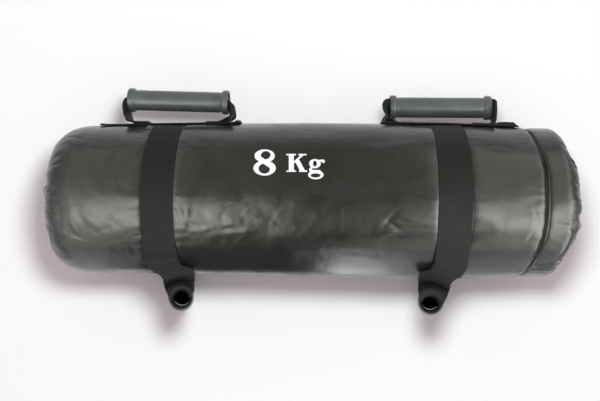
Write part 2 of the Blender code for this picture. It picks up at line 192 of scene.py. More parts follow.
def skin_rings(name, rings, material, wrap_rows=False, caps=False, uvs=None, sharp=None):
    """Closed rings of points, joined one to the next."""
    rings = [np.asarray(r, float) for r in rings]
    rows, cols = len(rings), len(rings[0])
    verts = list(np.concatenate(rings))
    faces = grid_faces(rows, cols, wrap_rows=wrap_rows)
    if uvs is not None:
        uvs = list(uvs)
    if caps:
        for ring, start, flip in ((rings[0], 0, True), (rings[-1], (rows - 1) * cols, False)):
            hub = len(verts)
            verts.append(ring.mean(0))
            if uvs is not None:
                uvs.append(np.asarray(uvs[start : start + cols]).mean(0))
            for j in range(cols):
                pair = (start + j, start + (j + 1) % cols)
                faces.append((pair[1], pair[0], hub) if flip else (pair[0], pair[1], hub))
    return outwards(mesh_object(name, verts, faces, material, uvs, sharp))


def turned(name, profile, material, steps=64, place=Matrix.Identity(4), wrap=True, sharp=None):
    """Turns a profile of (along X, radius) points about X. wrap closes the profile on itself."""
    a = np.linspace(0, 2 * math.pi, steps, endpoint=False)
    rings = [np.stack([np.full(steps, u), r * np.cos(a), r * np.sin(a)], 1) for u, r in profile]
    arc = np.concatenate([[0], np.cumsum([math.dist(p, q) for p, q in zip(profile, profile[1:])])])
    uvs = [(arc[i], a[j] * 0.0127) for i in range(len(profile)) for j in range(steps)]
    made = skin_rings(name, rings, material, wrap_rows=wrap, caps=not wrap, uvs=uvs, sharp=sharp)
    made.data.transform(place)
    return made


def curve_through(points, count):
    """Smooth curve through rows of numbers, with the given number of samples."""
    pts = np.asarray(points, float)
    n = len(pts)
    ext = np.vstack([2 * pts[0] - pts[1], pts, 2 * pts[-1] - pts[-2]])
    out = []
    for s in np.linspace(0, n - 1, count):
        i = min(int(s), n - 2)
        t = s - i
        p0, p1, p2, p3 = ext[i], ext[i + 1], ext[i + 2], ext[i + 3]
        out.append(
            0.5 * (2 * p1 + (p2 - p0) * t + (2 * p0 - 5 * p1 + 4 * p2 - p3) * t * t + (3 * p1 - p0 - 3 * p2 + p3) * t**3)
        )
    return np.array(out)


# ---------------------------------------------------------------- materials
def shader(name, colour, roughness, metallic=0.0, **sockets):
    made = bpy.data.materials.new(name)
    made.use_nodes = True
    bsdf = made.node_tree.nodes["Principled BSDF"]
    bsdf.inputs["Base Color"].default_value = (*colour, 1.0)
    bsdf.inputs["Roughness"].default_value = roughness
    bsdf.inputs["Metallic"].default_value = metallic
    for key, value in sockets.items():
        bsdf.inputs[key.replace("_", " ")].default_value = value
    return made, made.node_tree, bsdf


def node(tree, kind, **values):
    made = tree.nodes.new(kind)
    for key, value in values.items():
        if key.startswith("in_"):
            made.inputs[key[3:].replace("_", " ")].default_value = value
        else:
            setattr(made, key, value)
    return made


def math_node(tree, operation, a, b=None, c=None):
    made = tree.nodes.new("ShaderNodeMath")
    made.operation = operation
    for k, value in enumerate((a, b, c)):
        if value is None:
            continue
        if isinstance(value, (int, float)):
            made.inputs[k].default_value = value
        else:
            tree.links.new(value, made.inputs[k])
    return made.outputs[0]


def noise_node(tree, source, scale, detail=3.0, rough=0.55, distortion=0.0):
    made = node(tree, "ShaderNodeTexNoise")
    made.inputs["Scale"].default_value = scale
    made.inputs["Detail"].default_value = detail
    made.inputs["Roughness"].default_value = rough
    made.inputs["Distortion"].default_value = distortion
    tree.links.new(source, made.inputs["Vector"])
    return made.outputs["Fac"]


def ramp(tree, source, stops):
    made = tree.nodes.new("ShaderNodeValToRGB")
    elements = made.color_ramp.elements
    while len(elements) < len(stops):
        elements.new(0.5)
    for element, (where, colour) in zip(elements, stops):
        element.position = where
        element.color = (*colour, 1.0) if len(colour) == 3 else colour
    tree.links.new(source, made.inputs["Fac"])
    return made.outputs["Color"]


def spread_range(tree, source, low, high, from_low=0.0, from_high=1.0):
    made = tree.nodes.new("ShaderNodeMapRange")
    made.inputs["From Min"].default_value = from_low
    made.inputs["From Max"].default_value = from_high
    made.inputs["To Min"].default_value = low
    made.inputs["To Max"].default_value = high
    tree.links.new(source, made.inputs["Value"])
    return made.outputs["Result"]


def bump(tree, bsdf, layers):
    """Chained bumps. layers holds (height, distance in metres, strength)."""
    last = None
    for height, distance, strength in layers:
        made = tree.nodes.new("ShaderNodeBump")
        made.inputs["Distance"].default_value = distance
        made.inputs["Strength"].default_value = strength
        tree.links.new(height, made.inputs["Height"])
        if last is not None:
            tree.links.new(last, made.inputs["Normal"])
        last = made.outputs["Normal"]
    tree.links.new(last, bsdf.inputs["Normal"])


def coordinates(tree, kind="Object"):
    return tree.nodes.new("ShaderNodeTexCoord").outputs[kind]


def coated_fabric(name="coated_fabric", colour=(0.0160, 0.0170, 0.0140), rough=(0.18, 0.28)):
    """Black coated fabric: fine pebbled grain, cloudy gloss, faint dust and scuffs."""
    made, tree, bsdf = shader(name, colour, 0.3)
    at = coordinates(tree)
    grain = node(tree, "ShaderNodeTexVoronoi", feature="F1")
    grain.inputs["Scale"].default_value = 900.0
    tree.links.new(at, grain.inputs["Vector"])
    pores = noise_node(tree, at, 1600.0, 2.0)
    clouds = noise_node(tree, at, 34.0, 5.0, 0.62)
    broad = noise_node(tree, at, 9.0, 3.0)
    scuff = noise_node(tree, at, 70.0, 8.0, 0.75, 1.4)
    dust = noise_node(tree, at, 420.0, 6.0, 0.7)
    gloss = math_node(tree, "ADD", spread_range(tree, clouds, rough[0], rough[1], 0.3, 0.7), spread_range(tree, scuff, 0.0, 0.05, 0.58, 0.82))
    tree.links.new(gloss, bsdf.inputs["Roughness"])
    dark = tuple(0.80 * c for c in colour)
    light = tuple(1.35 * c for c in colour)
    base = ramp(tree, broad, [(0.3, dark), (0.7, light)])
    marks = math_node(tree, "MULTIPLY", spread_range(tree, scuff, 0.0, 0.08, 0.62, 0.90), spread_range(tree, dust, 0.0, 1.0, 0.40, 0.75))
    mix = node(tree, "ShaderNodeMix", data_type="RGBA")
    tree.links.new(marks, mix.inputs["Factor"])
    tree.links.new(base, mix.inputs["A"])
    mix.inputs["B"].default_value = (0.055, 0.055, 0.052, 1.0)
    tree.links.new(mix.outputs["Result"], bsdf.inputs["Base Color"])
    small = noise_node(tree, at, 120.0, 4.0)
    bump(tree, bsdf, [(clouds, 0.0006, 0.55), (small, 0.0002, 0.5), (grain.outputs["Distance"], 0.00008, 0.35), (pores, 0.00003, 0.25)])
    return made


def webbing_material(name, colour=(0.0050, 0.0050, 0.0047), pitch=0.00165):
    """Woven webbing: rows of raised picks across, fine warp ribs along, lint."""
    made, tree, bsdf = shader(name, colour, 0.7)
    bsdf.inputs["Sheen Weight"].default_value = 0.02
    bsdf.inputs["Sheen Roughness"].default_value = 0.5
    bsdf.inputs["Specular IOR Level"].default_value = 0.19
    uv = coordinates(tree, "UV")
    split = node(tree, "ShaderNodeSeparateXYZ")
    tree.links.new(uv, split.inputs[0])
    along, across = split.outputs["X"], split.outputs["Y"]
    ribs = math_node(tree, "SINE", math_node(tree, "MULTIPLY", across, 2 * math.pi / pitch))
    half = math_node(tree, "MULTIPLY", ribs, 0.5)
    # The picks step sideways from rib to rib, which gives the weave its slanted look.
    shifted = math_node(tree, "ADD", math_node(tree, "MULTIPLY", along, 2 * math.pi / 0.0014), math_node(tree, "MULTIPLY", math_node(tree, "FLOOR", math_node(tree, "DIVIDE", across, pitch)), 1.9))
    picks = math_node(tree, "SINE", shifted)
    weave = math_node(tree, "ADD", half, math_node(tree, "MULTIPLY", picks, 0.5))
    at = coordinates(tree)
    lint = noise_node(tree, at, 900.0, 4.0, 0.7)
    cloud = noise_node(tree, at, 40.0, 4.0)
    height = math_node(tree, "ADD", weave, math_node(tree, "MULTIPLY", lint, 0.8))
    # The colour follows the weave's height: it is lighter on the raised picks and ribs and darker in the dips between
    # them, which is painted shade in the weave. The cloud noise adds a slow random tone on top.
    tone = math_node(tree, "ADD", spread_range(tree, weave, 0.0, 0.55, -1.0, 1.0), math_node(tree, "MULTIPLY", cloud, 0.6))
    base = ramp(tree, tone, [(0.15, tuple(0.55 * c for c in colour)), (0.95, tuple(1.55 * c for c in colour))])
    fluff = node(tree, "ShaderNodeMix", data_type="RGBA")
    tree.links.new(spread_range(tree, lint, 0.0, 0.25, 0.66, 0.85), fluff.inputs["Factor"])
    tree.links.new(base, fluff.inputs["A"])
    fluff.inputs["B"].default_value = (0.034, 0.034, 0.032, 1.0)
    tree.links.new(fluff.outputs["Result"], bsdf.inputs["Base Color"])
    tree.links.new(spread_range(tree, cloud, 0.52, 0.70, 0.3, 0.7), bsdf.inputs["Roughness"])
    bump(tree, bsdf, [(height, 0.00022, 0.7)])
    return made


def grip_material():
    """Dark blue-grey moulded plastic with fine drawn lines along it, handling marks and a worn skin."""
    made, tree, bsdf = shader("grip_plastic", (0.062, 0.072, 0.078), 0.42)
    uv = coordinates(tree, "UV")
    stretch = node(tree, "ShaderNodeMapping")
    stretch.inputs["Scale"].default_value = (60.0, 2600.0, 1.0)
    tree.links.new(uv, stretch.inputs["Vector"])
    lines = noise_node(tree, stretch.outputs["Vector"], 1.0, 3.0)
    at = coordinates(tree)
    specks = noise_node(tree, at, 700.0, 5.0, 0.7)
    cloud = noise_node(tree, at, 60.0, 4.0)
    tone = math_node(tree, "ADD", math_node(tree, "MULTIPLY", lines, 0.5), math_node(tree, "MULTIPLY", cloud, 0.5))
    base = ramp(tree, tone, [(0.3, (0.052, 0.061, 0.065)), (0.7, (0.094, 0.106, 0.111))])
    mix = node(tree, "ShaderNodeMix", data_type="RGBA")
    tree.links.new(spread_range(tree, specks, 0.0, 0.45, 0.62, 0.80), mix.inputs["Factor"])
    tree.links.new(base, mix.inputs["A"])
    mix.inputs["B"].default_value = (0.20, 0.215, 0.22, 1.0)
    tree.links.new(mix.outputs["Result"], bsdf.inputs["Base Color"])
    tree.links.new(spread_range(tree, tone, 0.25, 0.42, 0.3, 0.7), bsdf.inputs["Roughness"])
    bump(tree, bsdf, [(lines, 0.0001, 0.5), (specks, 0.00012, 0.5)])
    return made


def simple_material(name, colour, roughness, scale, depth, vary=0.25, metallic=0.0, detail=5.0):
    """Colour, gloss and relief that vary together at one scale."""
    made, tree, bsdf = shader(name, colour, roughness, metallic)
    at = coordinates(tree)
    fine = noise_node(tree, at, scale, detail, 0.6)
    broad = noise_node(tree, at, scale * 0.12, 3.0)
    both = math_node(tree, "ADD", math_node(tree, "MULTIPLY", fine, 0.6), math_node(tree, "MULTIPLY", broad, 0.4))
    tree.links.new(
        ramp(tree, both, [(0.3, tuple(c * (1 - vary) for c in colour)), (0.7, tuple(min(1.0, c * (1 + vary)) for c in colour))]),
        bsdf.inputs["Base Color"],
    )
    tree.links.new(spread_range(tree, both, roughness * 0.85, min(1.0, roughness * 1.15), 0.3, 0.7), bsdf.inputs["Roughness"])
    bump(tree, bsdf, [(fine, depth, 0.7)])
    return made


def sand_material():
    made, tree, bsdf = shader("sand_grains", (0.50, 0.40, 0.26), 0.95)
    at = coordinates(tree)
    grains = node(tree, "ShaderNodeTexVoronoi", feature="F1")
    grains.inputs["Scale"].default_value = 1100.0
    tree.links.new(at, grains.inputs["Vector"])
    grey = node(tree, "ShaderNodeSeparateColor")
    tree.links.new(grains.outputs["Color"], grey.inputs[0])
    tree.links.new(
        ramp(tree, grey.outputs[0], [(0.0, (0.22, 0.15, 0.08)), (0.35, (0.48, 0.36, 0.21)), (0.8, (0.66, 0.54, 0.36)), (1.0, (0.82, 0.76, 0.62))]),
        bsdf.inputs["Base Color"],
    )
    bump(tree, bsdf, [(grains.outputs["Distance"], 0.0004, 0.8)])
    return made


def print_material():
    """White screen ink: slightly uneven cover, thin at a few specks."""
    made, tree, bsdf = shader("white_ink", (0.86, 0.87, 0.86), 0.5)
    at = coordinates(tree)
    worn = noise_node(tree, at, 900.0, 5.0, 0.7)
    soft = noise_node(tree, at, 130.0, 3.0)
    base = ramp(tree, worn, [(0.24, (0.50, 0.50, 0.49)), (0.36, (0.86, 0.87, 0.86))])
    tree.links.new(base, bsdf.inputs["Base Color"])
    tree.links.new(spread_range(tree, soft, 0.42, 0.6, 0.3, 0.7), bsdf.inputs["Roughness"])
    bump(tree, bsdf, [(worn, 0.00005, 0.4)])
    return made


FABRIC = coated_fabric()
FABRIC_IN = simple_material("fabric_backing", (0.11, 0.11, 0.105), 0.9, 900.0, 0.0001)
WEBBING = webbing_material("webbing")
GRIP = grip_material()
THREAD = simple_material("thread", (0.012, 0.012, 0.0115), 0.55, 2500.0, 0.00005)
TAPE = webbing_material("zip_tape", (0.004, 0.004, 0.004), 0.0007)
COIL = simple_material("zip_coil", (0.006, 0.006, 0.0065), 0.45, 1200.0, 0.00003)
METAL = simple_material("slider_metal", (0.050, 0.050, 0.052), 0.34, 900.0, 0.00003, metallic=0.6)
FOAM = simple_material("foam", (0.30, 0.31, 0.33), 0.95, 1400.0, 0.0005, vary=0.35)
FILM = simple_material("liner_film", (0.45, 0.47, 0.42), 0.42, 60.0, 0.0012, vary=0.12)
SAND = sand_material()
CORD = simple_material("tie_cord", (0.60, 0.58, 0.50), 0.8, 2200.0, 0.0002)
INK = print_material()


# ---------------------------------------------------------------- shape of the bag
def radius_at(x):
    x = np.clip(np.asarray(x, float), -HALF_LENGTH + CORNER_LEFT, X_ZIP)
    left = R_MAX - R_LOSS_LEFT * ((x - X_FULL) / SPAN_LEFT) ** 2
    right = R_MAX - R_LOSS_ZIP * ((x - X_FULL) / SPAN_ZIP) ** 2
    return np.where(x < X_FULL, left, right)


def centre_z(x):
    return radius_at(x) - FLAT_DEPTH


def pleat_cycle(angles_deg, depths, a):
    """Height 0 in the valleys at the given angles, 1 on the puffs between them, and the depth of the nearest valley."""
    valleys = np.radians(np.asarray(angles_deg, float)) % (2 * math.pi)
    order = np.argsort(valleys)
    valleys, depths = valleys[order], np.asarray(depths, float)[order]
    n = len(valleys)
    ext = np.concatenate([[valleys[-1] - 2 * math.pi], valleys, [valleys[0] + 2 * math.pi]])
    dep = np.concatenate([[depths[-1]], depths, [depths[0]]])
    a = np.asarray(a, float) % (2 * math.pi)
    k = np.clip(np.searchsorted(ext, a, side="right") - 1, 0, n)
    t = (a - ext[k]) / (ext[k + 1] - ext[k])
    puff = np.sin(math.pi * np.clip(t, 0, 1)) ** 0.42
    depth = dep[k] * (1 - t) + dep[k + 1] * t
    return puff, depth


LEFT_PLEATS = ([12, 33, 54, 74, 94, 113, 136, 158, 176, 197, 214, 236, 255, 271, 293, 311, 330, 349],
               [0.7, 0.8, 1.2, 0.7, 1.2, 0.8, 1.25, 0.9, 0.8, 1.0, 0.8, 1.1, 0.9, 0.8, 1.0, 0.9, 0.8, 1.0])
CAP_PLEATS = ([18, 43, 62, 82, 101, 121, 139, 152, 168, 188, 207, 229, 247, 268, 287, 309, 331, 351],
              [0.7, 1.2, 0.5, 0.5, 1.5, 1.25, 1.0, 1.2, 0.9, 1.0, 1.1, 0.9, 1.2, 0.8, 1.0, 1.1, 0.8, 1.0])


def round_place(x, a, scale_x, scale_a, seed):
    """Coordinates for noise that closes on itself round the bag."""
    r = 0.095
    return np.stack([x / scale_x + seed, r * np.cos(a) / scale_a + 31.7 + seed, r * np.sin(a) / scale_a + 7.3], -1)


def wrinkle(x, a, at_x, at_deg, along_deg, length, width):
    """A smooth ridge of height 1, at a place on the skin, turned by along_deg from the bag's length."""
    dx = x - at_x
    da = (np.mod(a - math.radians(at_deg) + math.pi, 2 * math.pi) - math.pi) * 0.095
    c, s = math.cos(math.radians(along_deg)), math.sin(math.radians(along_deg))
    u, v = c * dx + s * da, -s * dx + c * da
    return np.exp(-((u / length) ** 2) - (v / width) ** 2)


def broad_dents(x, a):
    """Slow unevenness of the filling under the skin."""
    d = 0.0010 * waves(round_place(x, a, 0.085, 0.060, 0.0))
    d += 0.00050 * waves(round_place(x, a, 0.036, 0.030, 5.0))
    return d


def creases(x, a, scale, seed, sharp):
    """Thin fold lines: 1 on the line and 0 away from it."""
    wx = x + 0.35 * scale * waves(round_place(x, a, scale * 0.8, scale * 0.6, seed + 40.0))
    return np.clip(1 - np.abs(waves(round_place(wx, a, scale, scale * 0.8, seed))), 0, 1) ** sharp


# Folds that show most: place along the bag, angle round it, direction, half length, half width, height.
FOLDS = [
    (-0.149, 96.0, 62.0, 0.018, 0.0042, -0.0011),
    (-0.140, 101.0, 100.0, 0.014, 0.0040, 0.0009),
    (-0.132, 108.0, 20.0, 0.016, 0.0038, -0.0009),
    (-0.118, 111.0, -12.0, 0.018, 0.0036, 0.0008),
    (-0.098, 110.0, 8.0, 0.020, 0.0040, -0.0008),
    (-0.075, 112.0, -6.0, 0.022, 0.0045, 0.0007),
    (-0.050, 109.0, 14.0, 0.018, 0.0040, -0.0006),
    (0.034, 104.0, 88.0, 0.020, 0.0030, -0.0002),
    (0.039, 106.0, 86.0, 0.018, 0.0034, 0.0002),
    (0.088, 103.0, -50.0, 0.009, 0.0030, -0.0010),
    (0.094, 107.0, 35.0, 0.010, 0.0030, -0.0008),
    (0.091, 111.0, -20.0, 0.009, 0.0030, 0.0008),
    (0.108, 101.0, 10.0, 0.013, 0.0028, 0.0006),
    (0.118, 108.0, -8.0, 0.012, 0.0028, -0.0006),
    (-0.262, 103.0, 70.0, 0.016, 0.0045, -0.0008),
    (-0.248, 108.0, 40.0, 0.018, 0.0042, 0.0007),
    (-0.231, 112.0, -25.0, 0.018, 0.0040, -0.0008),
    (-0.214, 104.0, 15.0, 0.016, 0.0038, 0.0005),
    (-0.205, 84.0, 20.0, 0.020, 0.0050, -0.0004),
    (0.205, 104.0, 80.0, 0.014, 0.0060, 0.0003),
    (0.250, 98.5, 74.0, 0.009, 0.0026, -0.0007),
    (0.248, 113.5, 108.0, 0.009, 0.0026, -0.0009),
    (0.246, 105.0, 12.0, 0.012, 0.0024, -0.0005),
    (0.060, 133.0, 5.0, 0.030, 0.0060, 0.0007),
    (-0.020, 128.0, -4.0, 0.026, 0.0060, 0.0005),
    (-0.276, 110.0, 75.0, 0.012, 0.0022, -0.0008),
    (-0.270, 113.0, 58.0, 0.010, 0.0024, 0.0006),
    (-0.284, 116.0, 82.0, 0.010, 0.0022, 0.0010),
    (-0.268, 119.0, 28.0, 0.012, 0.0024, -0.0006),
    (-0.287, 104.0, 86.0, 0.012, 0.0025, -0.0014),
    (-0.262, 123.0, 14.0, 0.014, 0.0024, 0.0004),
    (-0.285, 42.0, 50.0, 0.010, 0.0022, 0.0011),
    (-0.279, 37.0, 28.0, 0.012, 0.0022, -0.0011),
    (-0.296, 62.0, 20.0, 0.008, 0.0020, -0.0012),
    (-0.298, 84.0, -15.0, 0.008, 0.0020, -0.0012),
    (0.299, 105.0, 90.0, 0.0060, 0.0026, 0.0019),
    (0.300, 98.0, 80.0, 0.0070, 0.0017, -0.0022),
    (0.296, 112.0, 60.0, 0.0080, 0.0022, -0.0013),
    (0.287, 104.0, 8.0, 0.0090, 0.0022, 0.0008),
    (0.284, 140.5, -20.0, 0.0170, 0.0016, 0.0034),
    (0.286, 144.5, -20.0, 0.0160, 0.0022, -0.0034),
    (0.299, 141.0, -38.0, 0.0080, 0.0018, 0.0024),
    (0.279, 151.0, -8.0, 0.0120, 0.0020, 0.0016),
    (0.297, 149.0, 45.0, 0.0070, 0.0018, -0.0024),
    (0.300, 134.0, -60.0, 0.0090, 0.0020, -0.0018),
    (0.300, 58.0, 70.0, 0.0080, 0.0020, 0.0018),
    (0.302, 52.0, 60.0, 0.0080, 0.0020, -0.0020),
    (0.297, 43.0, 55.0, 0.0080, 0.0022, 0.0012),
    (0.300, 76.0, 20.0, 0.0080, 0.0022, -0.0010),
    (0.300, 88.0, -10.0, 0.0080, 0.0022, 0.0009),
    (-0.110, 47.0, 12.0, 0.030, 0.0060, -0.0005),
    (0.090, 43.0, -8.0, 0.032, 0.0060, -0.0006),
    (0.215, 50.0, 10.0, 0.018, 0.0050, -0.0005),
]


def fold_relief(x, a):
    d = np.zeros(np.broadcast(x, a).shape)
    for at_x, deg, turn, length, width, height in FOLDS:
        d += (0.45 if -0.265 < at_x < -0.20 else 0.62) * height * wrinkle(x, a, at_x, deg, turn, length, width)
    return d


def skin_relief(x, a):
    """How far the skin stands out from the bag's plain shape."""
    x, a = np.broadcast_arrays(np.asarray(x, float), np.asarray(a, float))
    d = broad_dents(x, a)
    busy = 0.30 + 0.70 * ease(waves(round_place(x, a, 0.11, 0.07, 9.0)), -0.25, 0.45)
    busy = busy * (1 - 0.70 * ease(x, 0.172, 0.186) * (1 - ease(x, 0.240, 0.256)))
    d += 0.00026 * busy * waves(round_place(x, a, 0.016, 0.014, 2.0))
    d += 0.00010 * busy * waves(round_place(x, a, 0.007, 0.006, 3.0))
    d -= 0.00026 * busy * creases(x, a, 0.046, 50.0, 9)
    d += 0.00016 * busy * creases(x, a, 0.033, 57.0, 10)
    d += fold_relief(x, a)
    d += 0.0042 * ease(-np.cos(a), 0.35, 0.95) * 0.54 * np.exp(-(((x + HALF_LENGTH - CORNER_LEFT) / 0.045) ** 2))
    # Drag lines that leave the cinched rings.
    for ring in RING_X.values():
        off = np.abs(x - ring) - WEB_WIDTH / 2
        near = np.exp(-np.clip(off, 0, None) / 0.014) * (off > -0.001)
        d += near * (0.00062 if ring < 0 else 0.00040) * waves(round_place(x, a, 0.050, 0.0070, 12.0 + ring * 9))
        d += 0.0004 * (1 - np.exp(-np.clip(off, 0, None) / 0.004)) * np.exp(-np.clip(off, 0, None) / 0.03)
    return d


def body_relief(x, a):
    d = skin_relief(x, a)
    for ring in RING_X.values():
        off = np.abs(x - ring) - WEB_WIDTH / 2
        d = d - 0.0019 * (1 - ease(off, -0.0013, 0.0001)) - 0.0003 * np.exp(-np.clip(off, 0, None) / 0.004)
    from_zip = X_ZIP - x
    # The filling bulges here, and the skin drops from it to the zip.
    d += 0.0019 * ease(x, 0.182, 0.2455) * (1 - ease(x, 0.2450, 0.2600)) * np.exp(-(((a - math.radians(105.0)) / math.radians(10.0)) ** 2))
    near = np.exp(-np.clip(from_zip, 0, None) / 0.010)
    d += near * 0.00095 * waves(round_place(x, a, 0.020, 0.0080, 15.0))
    d -= 0.0013 * np.exp(-np.clip(from_zip - 0.0018, 0, None) / 0.0018)
    return d


def cap_relief(x, a):
    d = skin_relief(x, a) - 0.0003
    from_zip = x - X_ZIP
    near = np.exp(-np.clip(from_zip, 0, None) / 0.008)
    d += near * 0.00050 * waves(round_place(x, a, 0.020, 0.010, 17.0))
    d -= 0.0013 * np.exp(-np.clip(from_zip - 0.0018, 0, None) / 0.0018)
    return d


def settle(z, k=0.0016):
    """Keeps a height above the floor with a soft turn."""
    return 0.5 * (z + np.sqrt(z * z + k * k))


def side_point(x, a, lift):
    """Points on the bag's straight side, raised by lift from its plain shape."""
    r = radius_at(x) + lift
    z = centre_z(x) + r * np.sin(a)
    return np.stack([np.broadcast_to(x, np.shape(z)), r * np.cos(a), settle(z)], -1)


def slump(y):
    """How far the zipped end draws back towards its two sides."""
    return -0.0058 * ease(y, 0.030, 0.066) - 0.0085 * ease(-y, 0.034, 0.070)


def end_ring(x_end, corner, outward, t, a, pleats, depth_scale, relief):
    """Ring of the gathered end. t runs from 0 at the straight side to 1 at the seam."""
    full = float(radius_at(x_end))
    phi = t * math.pi / 2
    puff_out = 0.0058 if outward < 0 else -0.0042
    base_x = x_end - outward * corner + outward * (corner + puff_out) * math.sin(phi)
    base_r = full - corner + corner * math.cos(phi)
    # The valleys lean a little as they run in to the seam, and some of them fork.
    lean = 0.05 * waves(round_place(np.full_like(a, base_x), a, 0.030, 0.030, 19.0)) * t
    puff, depth = pleat_cycle(*pleats, a + lean)
    rise = depth_scale * depth * (t**3.2 if outward < 0 else t**1.8)
    wander = waves(round_place(np.full_like(a, base_x), a, 0.014, 0.010, 21.0)) * 0.0013 * t
    patchy = 0.25 + 0.75 * ease(waves(round_place(np.full_like(a, base_x), a, 0.5, 0.030, 27.0)), -0.2, 0.5)
    folds = waves(round_place(np.full_like(a, base_x), a, 0.022, 0.0070, 23.0)) * patchy * (0.0005 if outward < 0 else 0.0010) * math.sin(math.pi * min(1.0, t * 1.02))
    knots = creases(np.full_like(a, base_x), a, 0.020, 61.0, 7) * 0.0011 * t
    lift = rise * (puff - (0.56 if outward < 0 else 0.66)) + wander + folds - knots
    lift = lift + (1 - ease(t, 0.0, 0.35)) * relief(np.full_like(a, base_x), a)
    lift = lift + ease(t, 0.0, 0.35) * (1.3 if outward < 0 else 1.5) * fold_relief(np.full_like(a, base_x), a)
    if outward < 0:
        # The lower near side sags out; the seam itself stays put.
        grown = float(ease(t, 0.0, 0.48)) * float(1 - ease(t, 0.50, 1.0))
        sag = 0.46 * grown + 0.54 * float(1 - ease(t, 0.50, 1.0)) - 0.54 * float(1 - ease(t, 0.0, 0.35))
        lift = lift + 0.0042 * ease(-np.cos(a), 0.35, 0.95) * sag + 0.0022 * ease(np.cos(a), 0.45, 0.95) * grown
    nx, nr = outward * math.sin(phi), math.cos(phi)
    r = base_r + nr * lift
    x = base_x + nx * lift + (slump(r * np.cos(a)) * float(ease(t, 0.0, 0.75)) if outward > 0 else 0.0)
    z = centre_z(x_end) + r * np.sin(a)
    return np.stack([x, r * np.cos(a), settle(z)], -1)


def tucked(ring, x_end, outward, seam_r, inward, narrower):
    """The skin's edge, folded in at the seam."""
    centre = np.array([0.0, 0.0, float(centre_z(x_end))])
    out = ring.copy()
    back = slump(ring[:, 1]) if outward > 0 else 0.0
    out[:, 0] = ring[:, 0] * 0.35 + (x_end - outward * inward + back) * 0.65
    radial = ring - centre
    radial[:, 0] = 0
    r = np.linalg.norm(radial, axis=1)[:, None]
    out[:, 1:] = centre[1:] + radial[:, 1:] / r * (r * 0.35 + (seam_r - narrower) * 0.65)
    return out


def swayed(points):
    """Draws the zip and the skin beside it back a little at the bag's two sides, where the line isn't straight."""
    x, y, z = points[..., 0], points[..., 1], points[..., 2]
    up = ease(z, 0.050, 0.088)
    back = 0.0056 * ease(y, 0.030, 0.096) + 0.0105 * ease(-y, 0.022, 0.096)
    out = points.copy()
    out[..., 0] = x - back * up * np.exp(-(((x - X_ZIP) / 0.028) ** 2))
    return out


COLS = 480
TURN = np.linspace(0, 2 * math.pi, COLS, endpoint=False)


def stations(start, stop, step, extra=()):
    xs = list(np.linspace(start, stop, int(round(abs(stop - start) / step)) + 1)) + list(extra)
    return np.array(sorted(set(round(v, 5) for v in xs if start - 1e-9 <= v <= stop + 1e-9)))


def make_body_skin():
    step = 0.0020
    near_rings = [
        x + s * (WEB_WIDTH / 2 + o) for x in RING_X.values() for s in (-1, 1) for o in (-0.0014, -0.0009, -0.0004, 0.0002, 0.0009, 0.0018, 0.0032)
    ]
    near_zip = [X_ZIP - o for o in (0.0019, 0.0024, 0.003, 0.0038, 0.0048, 0.006, 0.0072, 0.0086, 0.010, 0.012, 0.014)]
    xs = stations(-HALF_LENGTH + CORNER_LEFT, X_ZIP - 0.0019, step, near_rings + near_zip)
    steps = 32
    rings = []
    for i in range(steps, 0, -1):
        rings.append(end_ring(-HALF_LENGTH, CORNER_LEFT, -1, i / steps, TURN, LEFT_PLEATS, 0.0050, body_relief))
    seam_r = float(radius_at(-HALF_LENGTH)) - CORNER_LEFT
    rings.insert(0, tucked(rings[0], -HALF_LENGTH, -1, seam_r, 0.0028, 0.0012))
    rings.insert(0, tucked(rings[0], -HALF_LENGTH, -1, seam_r, 0.0050, 0.0006))
    rings += [side_point(np.full(COLS, x), TURN, body_relief(np.full(COLS, x), TURN)) for x in xs]
    outer = len(rings)
    # The lip turns under beside the zip, and the lining runs back to the plain end.
    lip = rings[-1]
    for dx, dr in ((0.0003, 0.0007), (0.0001, 0.0020), (-0.0012, 0.0030), (-0.0040, 0.0036)):
        turned_in = lip.copy()
        turned_in[:, 0] += dx
        radial = lip[:, 1:] - (0.0, float(centre_z(X_ZIP)))
        radial /= np.linalg.norm(radial, axis=1)[:, None]
        turned_in[:, 1:] = lip[:, 1:] - radial * dr
        rings.append(turned_in)
    for x in np.linspace(X_ZIP - 0.012, -HALF_LENGTH + CORNER_LEFT, 26):
        deep = 0.0046
        rings.append(side_point(np.full(COLS, x), TURN, np.minimum(body_relief(np.full(COLS, x), TURN), 0.0) * 0.5 - deep))
    for t in np.linspace(0.1, 1.0, 9):
        ring = end_ring(-HALF_LENGTH, CORNER_LEFT, -1, t, TURN, LEFT_PLEATS, 0.0050, body_relief)
        centre = np.array([-HALF_LENGTH + CORNER_LEFT, 0.0, float(centre_z(-HALF_LENGTH))])
        rings.append(centre + (ring - centre) * (1 - 0.0050 / 0.09))
    for ring in rings[outer:]:
        ring[:, 2] = np.maximum(ring[:, 2], 0.0016)
    rings = [swayed(ring) for ring in rings]
    rows = len(rings)
    uvs = np.zeros((rows * COLS, 2))
    for i, ring in enumerate(rings):
        uvs[i * COLS : (i + 1) * COLS, 0] = ring[:, 0]
        uvs[i * COLS : (i + 1) * COLS, 1] = TURN * 0.095
    made = skin_rings("bag_skin", rings, FABRIC, wrap_rows=True, uvs=uvs)
    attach(made, "bag")
    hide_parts("shell_body")
    return made, np.concatenate(rings[:outer]), outer


